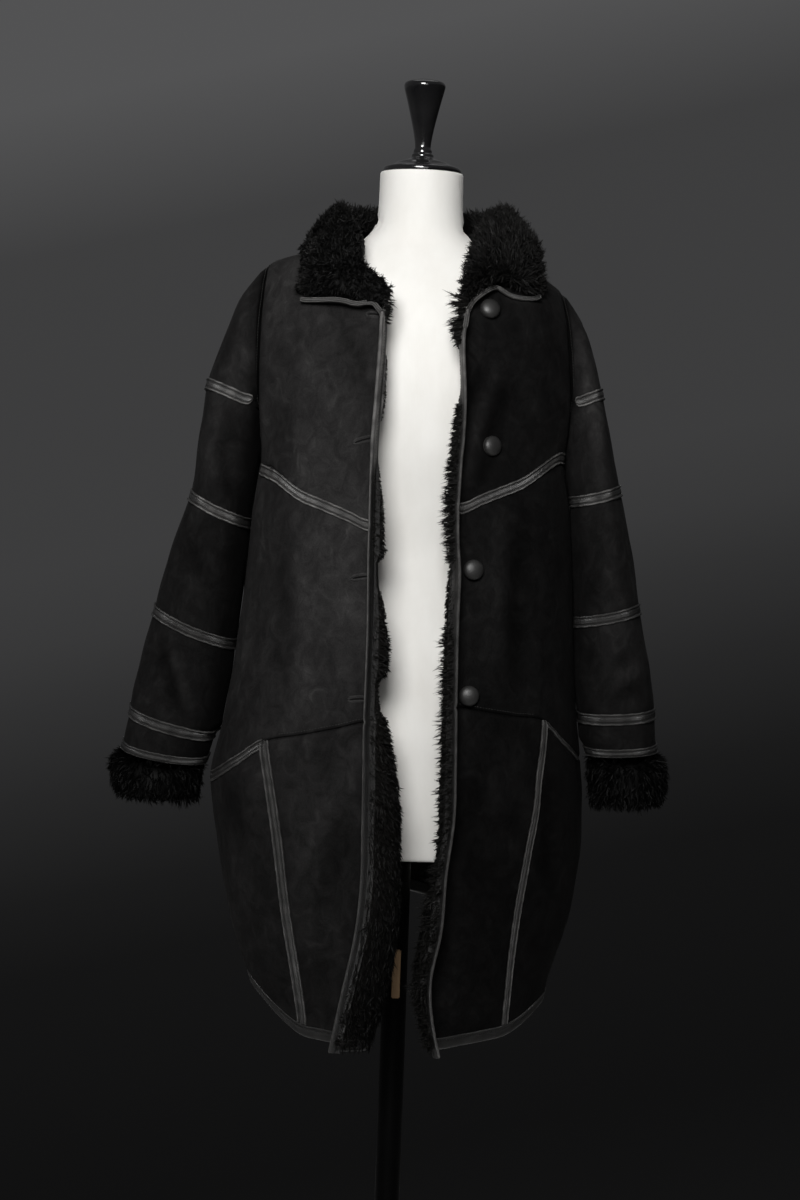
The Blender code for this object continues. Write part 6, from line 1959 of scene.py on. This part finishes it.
def fur_object(name, hairs, mat="fur", under=None, tone=1.0):
    """Hairs in one mesh, with the surface under them where it is given; tone is one value or one for each
    point of the hairs. A piece with an under-surface replaces the CAD node of its name."""
    pts, tris, lock, tip = hairs
    wear_and_painted_light = np.broadcast_to(tone, len(pts))
    if under:
        co, faces = under
        pts, tris = np.concatenate([co, pts]), np.concatenate([triangles(faces), tris + len(co)])
        lock = np.concatenate([np.full(len(co), .1), lock])
        tip = np.concatenate([np.zeros(len(co)), tip])
        wear_and_painted_light = np.concatenate([np.full(len(co), np.min(tone)), wear_and_painted_light])
    ob = mesh_object(name, pts, tris, [mat], attrs={"lock": lock, "tip": tip, "wear_and_painted_light": wear_and_painted_light})
    if under:
        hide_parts(name)


def clear_above(p, q):
    """True where there is room over the surface for fur."""
    out = np.ones(len(p), bool)
    for k in range(len(p)):
        spot = Vector(p[k] + q[k] * .004)
        loc, nn, _, _ = SKIN.find_nearest(spot, .008)
        out[k] = loc is None or float((np.array(spot) - np.array(loc)) @ np.array(nn)) >= .0025
    return out


# middle of each leaf, x z, and how much the hair spreads sideways and upward from it
LEAF = {"left": (-.0800, 1.352, .55, 1.0), "right": (.1080, 1.349, 1.0, .75)}


def leaf_flow(p):
    """Hair runs away from the middle of each leaf; behind the neck it stands up and back."""
    flow = np.zeros_like(p)
    for side in SGN:
        x, z, wide, high = LEAF[side]
        on = p[:, 0] * SGN[side] > 0
        away = np.stack([(p[on, 0] - x) * wide, np.zeros(on.sum()), (p[on, 2] - z) * high], axis=1)
        flow[on] = unit_rows(away) * np.clip(np.linalg.norm(away, axis=1) / .018, 0, 1)[:, None]
    behind = np.clip((p[:, 1] + .02) / .04, 0, 1)[:, None]
    return flow * .85 * (1 - behind) + behind * np.array([0, .25, .55])


def over_piping(p):
    """Height of a point over the collar's piped edge; large behind."""
    out = np.full(len(p), .1)
    for side in SGN:
        line = np.array(sorted(COLLAR_EDGE[side]))
        on = (p[:, 0] * SGN[side] > .04) & (p[:, 1] < -.02)
        out[on] = p[on, 2] - np.interp(p[on, 0], line[:, 0], line[:, 1])
    return out


RIM = [(1.329, -.1225), (1.3616, -.1165), (1.383, -.1080), (1.410, -.1000)]     # z, x where it starts


def outer_rim(p, q):
    """1 on the lighter rim round the outside of the left leaf, where the pile is shorter from wear."""
    out = np.clip((stepped(RIM, p[:, 2]) - p[:, 0]) / .002, 0, 1) * np.clip((-q[:, 0] - .40) / .10, 0, 1)
    out = out * np.clip((p[:, 2] - 1.325) / .006, 0, 1) * np.clip((1.398 - p[:, 2]) / .008, 0, 1)
    return out * np.clip((.03 - p[:, 1]) / .02, 0, 1)


NUDGES = ((-.0411, 1.332, .0080), (-.0520, 1.366, -.0050), (.0460, 1.330, -.0075))     # x, z, push sideways


def settled(co):
    """The collar under its pile: the left leaf drawn in at its outer edge, the right one filled out at
    its top corner, the front edges nudged into line and the back a little higher."""
    co = co.copy()
    beyond = np.clip(-.1275 - co[:, 0], 0, 1) * np.clip((co[:, 2] - 1.333) / .006, 0, 1)
    co[:, 0] += .85 * beyond
    corner = np.exp(-((co[:, 0] - .125) / .022) ** 2 - ((co[:, 2] - 1.392) / .018) ** 2)
    co += corner[:, None] * np.array([.0065, 0, .003])
    for x, z, push in NUDGES:
        near = np.exp(-((co[:, 0] - x) / .016) ** 2 - ((co[:, 2] - z) / .013) ** 2) * (co[:, 1] < -.06)
        co[:, 0] += push * near
    back = np.clip((co[:, 1] + .01) / .02, 0, 1) * np.clip((co[:, 2] - 1.36) / .03, 0, 1)
    co[:, 2] += .0045 * back
    return co


HAIRS, HAIR_W = 5, .00066                             # hairs to a tuft, and their width


def collar_fur():
    """The collar's pile in three pieces: left leaf with the under-surface, right leaf, behind the neck."""
    co, nr, faces = fine_copy("collar", .0050)
    bumps = .0014 * soft_noise(co, 110, 41) + .0008 * soft_noise(co, 240, 43)
    co = settled(co + nr * bumps[:, None])
    p, q = scatter(co, nr, faces, .0028, 5, clear_above)
    over = over_piping(p)
    p, q, over = (v[over > .0015] for v in (p, q, over))
    rim = outer_rim(p, q)
    tall = np.clip(over / .010, .28, 1)              # shorter by the piping

    def pile(on, length, curl, lift, wild, clump):
        own = (length * tall * (1 - .45 * rim))[on]
        return tufts(p[on], q[on], leaf_flow(p[on]), own, .0012, HAIRS, HAIR_W, curl, 6, lift, clump, wild)
    front, right = p[:, 1] < -.02, p[:, 0] > 0
    left = front & ~right
    some = np.arange(len(p)) % 5 < 2                 # out of sight behind, so thinner
    fur_object("collar", pile(left, .0084, (1.0, .18), .50, .75, 160), under=(co, faces),
               tone=np.repeat(.36 + 1.1 * rim[left], HAIRS * HAIR_POINTS))
    fur_object("collar_right_fur", pile(front & right, .0115, (.65, .16), .42, .62, 120), tone=1.35)
    fur_object("collar_back_fur", pile(~front & some, .0095, (.7, .15), .55, .60, 130))


def cuff_fur(side):
    name = "fur_cuff_" + side
    co, nr, faces = fine_copy(name, .0048)
    p, q = scatter(co, nr, faces, .0034, 7)
    flow = unit_rows((p - p.mean(0)) * np.array([1, .6, 0])) * .25 + np.array([0, 0, -.75])
    pile = tufts(p, q, flow, .0105, .0013, HAIRS, HAIR_W, (.7, .14), 8, .48, 100, .45)
    fur_object(name, pile, under=(co, faces), tone=.11)


collar_fur()
for side in SGN:
    cuff_fur(side)

# ------------------------------------------------------------- wool of the front edges
WOOL_FROM, WOOL_TO = .25, 6.2                        # columns of the turned edge that can carry wool
# z, column where it starts, over the binding
WOOL_COVERS = {"left": [(.49, .95), (1.02, .95), (1.04, .40), (1.13, .40), (1.145, 1.1), (1.34, 1.1)],
               "right": [(.49, .55), (.88, .55), (.98, .45), (1.02, .95), (1.045, .25), (1.20, .25),
                         (1.23, 1.1), (1.27, 1.1), (1.29, .3), (1.34, .3)]}
WOOL_HAIRS = 4                                       # hairs to a tuft
WOOL_GAP = {"left": .0034, "right": .0036}
WOOL_ASIDE = {"left": .35, "right": .9}              # how much it lies toward the other front
# painted light on the edge wool: lightest at the open edge, painted shade farther back inside the coat
WOOL_PAINTED_LIGHT = [(0, 1.5), (.010, 1.2), (.030, .6), (.045, .35)]       # distance behind the edge
# how far pile shows past the bound edge, z and metres
FRINGE = {"right": [(.500, .010), (.566, .013), (.673, .012), (.727, .008), (.824, .011), (.888, .010),
                    (.953, .010), (.975, .002), (1.036, .001), (1.044, .010), (1.071, .011), (1.104, .010),
                    (1.125, .009), (1.168, .006), (1.206, .004), (1.215, 0), (1.268, 0), (1.275, .004),
                    (1.288, .011), (1.308, .016), (1.340, .018)],
          "left": [(.500, .008), (.56, .006), (.60, 0), (1.29, 0), (1.305, .010), (1.34, .014)]}
FRINGE_TUFTS = 2900


def lining_quads(side):
    """Points, outward normals and quads of the lining where wool shows beside the binding."""
    i, j = np.meshgrid(np.linspace(WOOL_FROM, WOOL_TO, 70), np.linspace(.25, NR - .05, 420), indexing="ij")
    skin, nrm, lining = at("F", side, i.ravel(), j.ravel())
    ids = np.arange(i.size).reshape(i.shape)
    quads = np.stack([ids[:-1, :-1], ids[1:, :-1], ids[1:, 1:], ids[:-1, 1:]], axis=-1).reshape(-1, 4)
    bare = i.ravel() >= stepped(WOOL_COVERS[side], skin[:, 2])
    return lining, -nrm, quads[bare[quads].all(axis=1)].tolist()


def edge_wool(side):
    p, q = scatter(*lining_quads(side), WOOL_GAP[side], 15)
    reach = stepped(WOOL_REACH[side], p[:, 2])
    keep = reach * np.random.default_rng(3).uniform(.8, 1.2, len(p)) > .0022
    p, q, reach = p[keep], q[keep], reach[keep]
    down = np.clip((.90 - p[:, 2]) / .25, 0, 1)      # the long wool below hangs in strands
    tall = np.clip(.55 * reach, .0026, .0075) * (1 + .7 * down)
    aside = -SGN[side] * WOOL_ASIDE[side] * (1 - .7 * down)
    flow = np.stack([aside, np.full(len(p), -.1), -.35 - .55 * down], axis=1)
    edge = at("F", side, 0, np.linspace(0, NR, 300))[0]
    edge = edge[np.argsort(edge[:, 2])]
    behind = np.abs(p[:, 0] - np.interp(p[:, 2], edge[:, 2], edge[:, 0]))
    # painted shade farther in from the edge and on the long wool lower down
    tone = stepped(WOOL_PAINTED_LIGHT, behind) * (1 - .30 * down)
    wool = tufts(p, q, flow, tall, .0014, WOOL_HAIRS, .00080, (.5, .12), 17, .7 - .3 * down)
    fur_object("edge_wool_" + side, wool, "wool", tone=np.repeat(tone, WOOL_HAIRS * HAIR_POINTS))


def edge_fringe(side):
    """Pile from behind the bound edge that shows past it."""
    rng = np.random.default_rng(9)
    j = rng.uniform(.3, NR - .02, FRINGE_TUFTS)
    i = rng.uniform(.15, 2.2, FRINGE_TUFTS)
    skin, nrm, lining = at("F", side, i, j)
    reach = stepped(FRINGE[side], skin[:, 2]) * rng.uniform(.75, 1.15, FRINGE_TUFTS)
    top = j > NR - .7                                # on up to the collar's fur
    lining[top, 2] += rng.uniform(0, .018, top.sum())
    nrm, lining, reach, i = (v[reach > .0028] for v in (nrm, lining, reach, i))
    reach = reach + .004 * np.clip(i - .6, 0, 1)
    flow = np.tile([-SGN[side] * 1.0, .10, -.45], (len(nrm), 1)) * .4
    out = unit_rows(-nrm * .4 + np.array([-SGN[side] * .9, 0, 0]))
    fringe = tufts(lining, out, flow, reach, .0012, 6, .00050, (.5, .10), 23, 1.0, 140, .30)
    fur_object("edge_fringe_" + side, fringe, "wool")


for side in SGN:
    edge_wool(side)
for side in SGN:
    edge_fringe(side)

# ------------------------------------------------------------- dress form and stand
def rounded(profile, turns=2):
    """Corners of a lathe profile cut round."""
    p = np.array(profile, float)
    for _ in range(turns):
        q = [p[0]]
        for a, b in zip(p, p[1:]):
            q += [a * .75 + b * .25, a * .25 + b * .75]
        p = np.array(q + [p[-1]])
    return p


def tube_faces(n, seg):
    """Quads round n rings of seg points, with both ends closed."""
    faces = [[a * seg + k, a * seg + (k + 1) % seg, (a + 1) * seg + (k + 1) % seg, (a + 1) * seg + k]
             for a in range(n - 1) for k in range(seg)]
    return faces + [list(range(seg))[::-1], [(n - 1) * seg + k for k in range(seg)]]


def lathe(name, profile, mat, seg, node=None, origin=(0, 0, 0), axis=(0, 0, 1)):
    """Turned body: profile is radius and distance along the axis."""
    o, axis = np.array(origin, float), unit(np.array(axis, float))
    e1 = unit(np.cross([1.0, 0, 0] if abs(axis[0]) < .9 else [0, 0, 1.0], axis))
    e2 = np.cross(axis, e1)
    t = 2 * math.pi * np.arange(seg) / seg
    ring = np.cos(t)[:, None] * e1 + np.sin(t)[:, None] * e2
    pts = np.concatenate([o + axis * z + r * ring for r, z in profile])
    ob = mesh_object(name, pts, tube_faces(len(profile), seg), [mat])
    if node:
        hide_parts(node)


FORM_SEG, FORM_ROWS = 112, 122
# z, size: the form's rounded ends
FOOT = [(.7100, .965), (.7101, .980), (.7106, .990), (.7120, .997), (.7150, 1.0)]
NECK = [(1.4726, .998), (1.4738, .985), (1.4740, .96)]
FORM_GAP = .0009                                     # least gap to the lining
CLOTH = .14                                          # metres of cloth to a radian of its texture


def inside_lining(p):
    """The point, moved in where it would touch the coat's lining."""
    for _ in range(3):
        loc, nr, _, _ = LINING.find_nearest(Vector(p), .03)
        if loc is None:
            break
        h = float((p - np.array(loc)) @ np.array(nr))
        if h > -FORM_GAP:
            p = p - np.array(nr) * (h + FORM_GAP)
    return p


def form_torso():
    shape = pchip(FORM)
    levels = FOOT + [(z, 1.0) for z in np.linspace(.722, 1.470, FORM_ROWS)] + NECK
    t = 2 * math.pi * np.arange(FORM_SEG) / FORM_SEG
    c, s = np.cos(t), np.sin(t)
    pts, uv = [], []
    for z, size in levels:
        a, front, back_half, box = shape(z)
        x = a * np.sign(c) * np.abs(c) ** (2 / box) * size
        y = np.where(s > 0, back_half, front) * np.sign(s) * np.abs(s) ** (2 / box) * size
        pts += [inside_lining(np.array([x[q], y[q], z])) for q in range(FORM_SEG)]
        uv += [(q * CLOTH, z) for q in t]
    faces = tube_faces(len(levels), FORM_SEG)
    ob = mesh_object("form_torso", np.array(pts), faces, ["form"], uv=np.array(uv))
    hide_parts("form_torso")


def peg():
    """Small wooden peg with rounded edges beside the pole."""
    lo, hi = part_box("stand_peg")
    bm = bmesh.new()
    bmesh.ops.create_cube(bm, size=1)
    for v in bm.verts:
        v.co = [(lo[c] + hi[c]) / 2 + v.co[c] * (hi[c] - lo[c]) for c in range(3)]
    bmesh.ops.bevel(bm, geom=list(bm.edges), offset=.0011, segments=3, affect="EDGES")
    mesh = bpy.data.meshes.new("stand_peg")
    bm.to_mesh(mesh)
    mesh.materials.append(M["wood"])
    ob = bpy.data.objects.new("stand_peg", mesh)
    scene.collection.objects.link(ob)
    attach(ob, "root")
    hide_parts("stand_peg")


form_torso()
lathe("form_finial", rounded(FINIAL), "lacquer", 64, "form_finial")
POLE = [(POLE_R - .001, .0320), (POLE_R, .0330), (POLE_R, .40), (POLE_R, POLE_TOP)]
lathe("stand_pole", rounded(POLE, 1), "metal", 64, "stand_pole")
lathe("stand_base", rounded(BASE), "iron", 128, "stand_base")
peg()

# ------------------------------------------------------------- buttons
BUTTONS = [(.078, 1.315), (.084, 1.166), (.069, 1.031), (.069, .895)]     # x, z
DOME = [(.0064, .0000), (.0090, .0004), (.0106, .0018), (.0112, .0034), (.0110, .0050), (.0102, .0064),
        (.0088, .0077), (.0069, .0087), (.0047, .0094), (.0024, .0098), (.0006, .0099)]
DOME_RIM = [(.0090, .0010), (.0101, .0008), (.0108, .0014), (.0109, .0021), (.0104, .0026), (.0092, .0027)]
for k, (x, z) in enumerate(BUTTONS):
    o, n = on_front(x, z)
    if n[1] > 0:
        n = -n
    o = o + n * .0005
    lathe(f"button_{k + 1}", rounded(DOME, 1), "button", 56, f"button_{k + 1}", o, n)
    lathe(f"button_rim_{k + 1}", DOME_RIM, "binding", 56, None, o, n)

pts, faces = (np.concatenate(STITCHES[key]) for key in ("pts", "faces"))
mesh_object("stitching", pts, faces, ["thread"])

# ------------------------------------------------------------- floor
FLOOR_R, FLOOR_SEG, FLOOR_Z = 1.7, 96, -.0005
rim = [2 * math.pi * k / FLOOR_SEG for k in range(FLOOR_SEG)]
floor_mesh = bpy.data.meshes.new("floor")
floor_mesh.from_pydata([(FLOOR_R * math.cos(a), FLOOR_R * math.sin(a), FLOOR_Z) for a in rim], [],
                       [list(range(FLOOR_SEG))])
floor_mesh.materials.append(M["floor"])
floor = bpy.data.objects.new("floor", floor_mesh)
scene.collection.objects.link(floor)
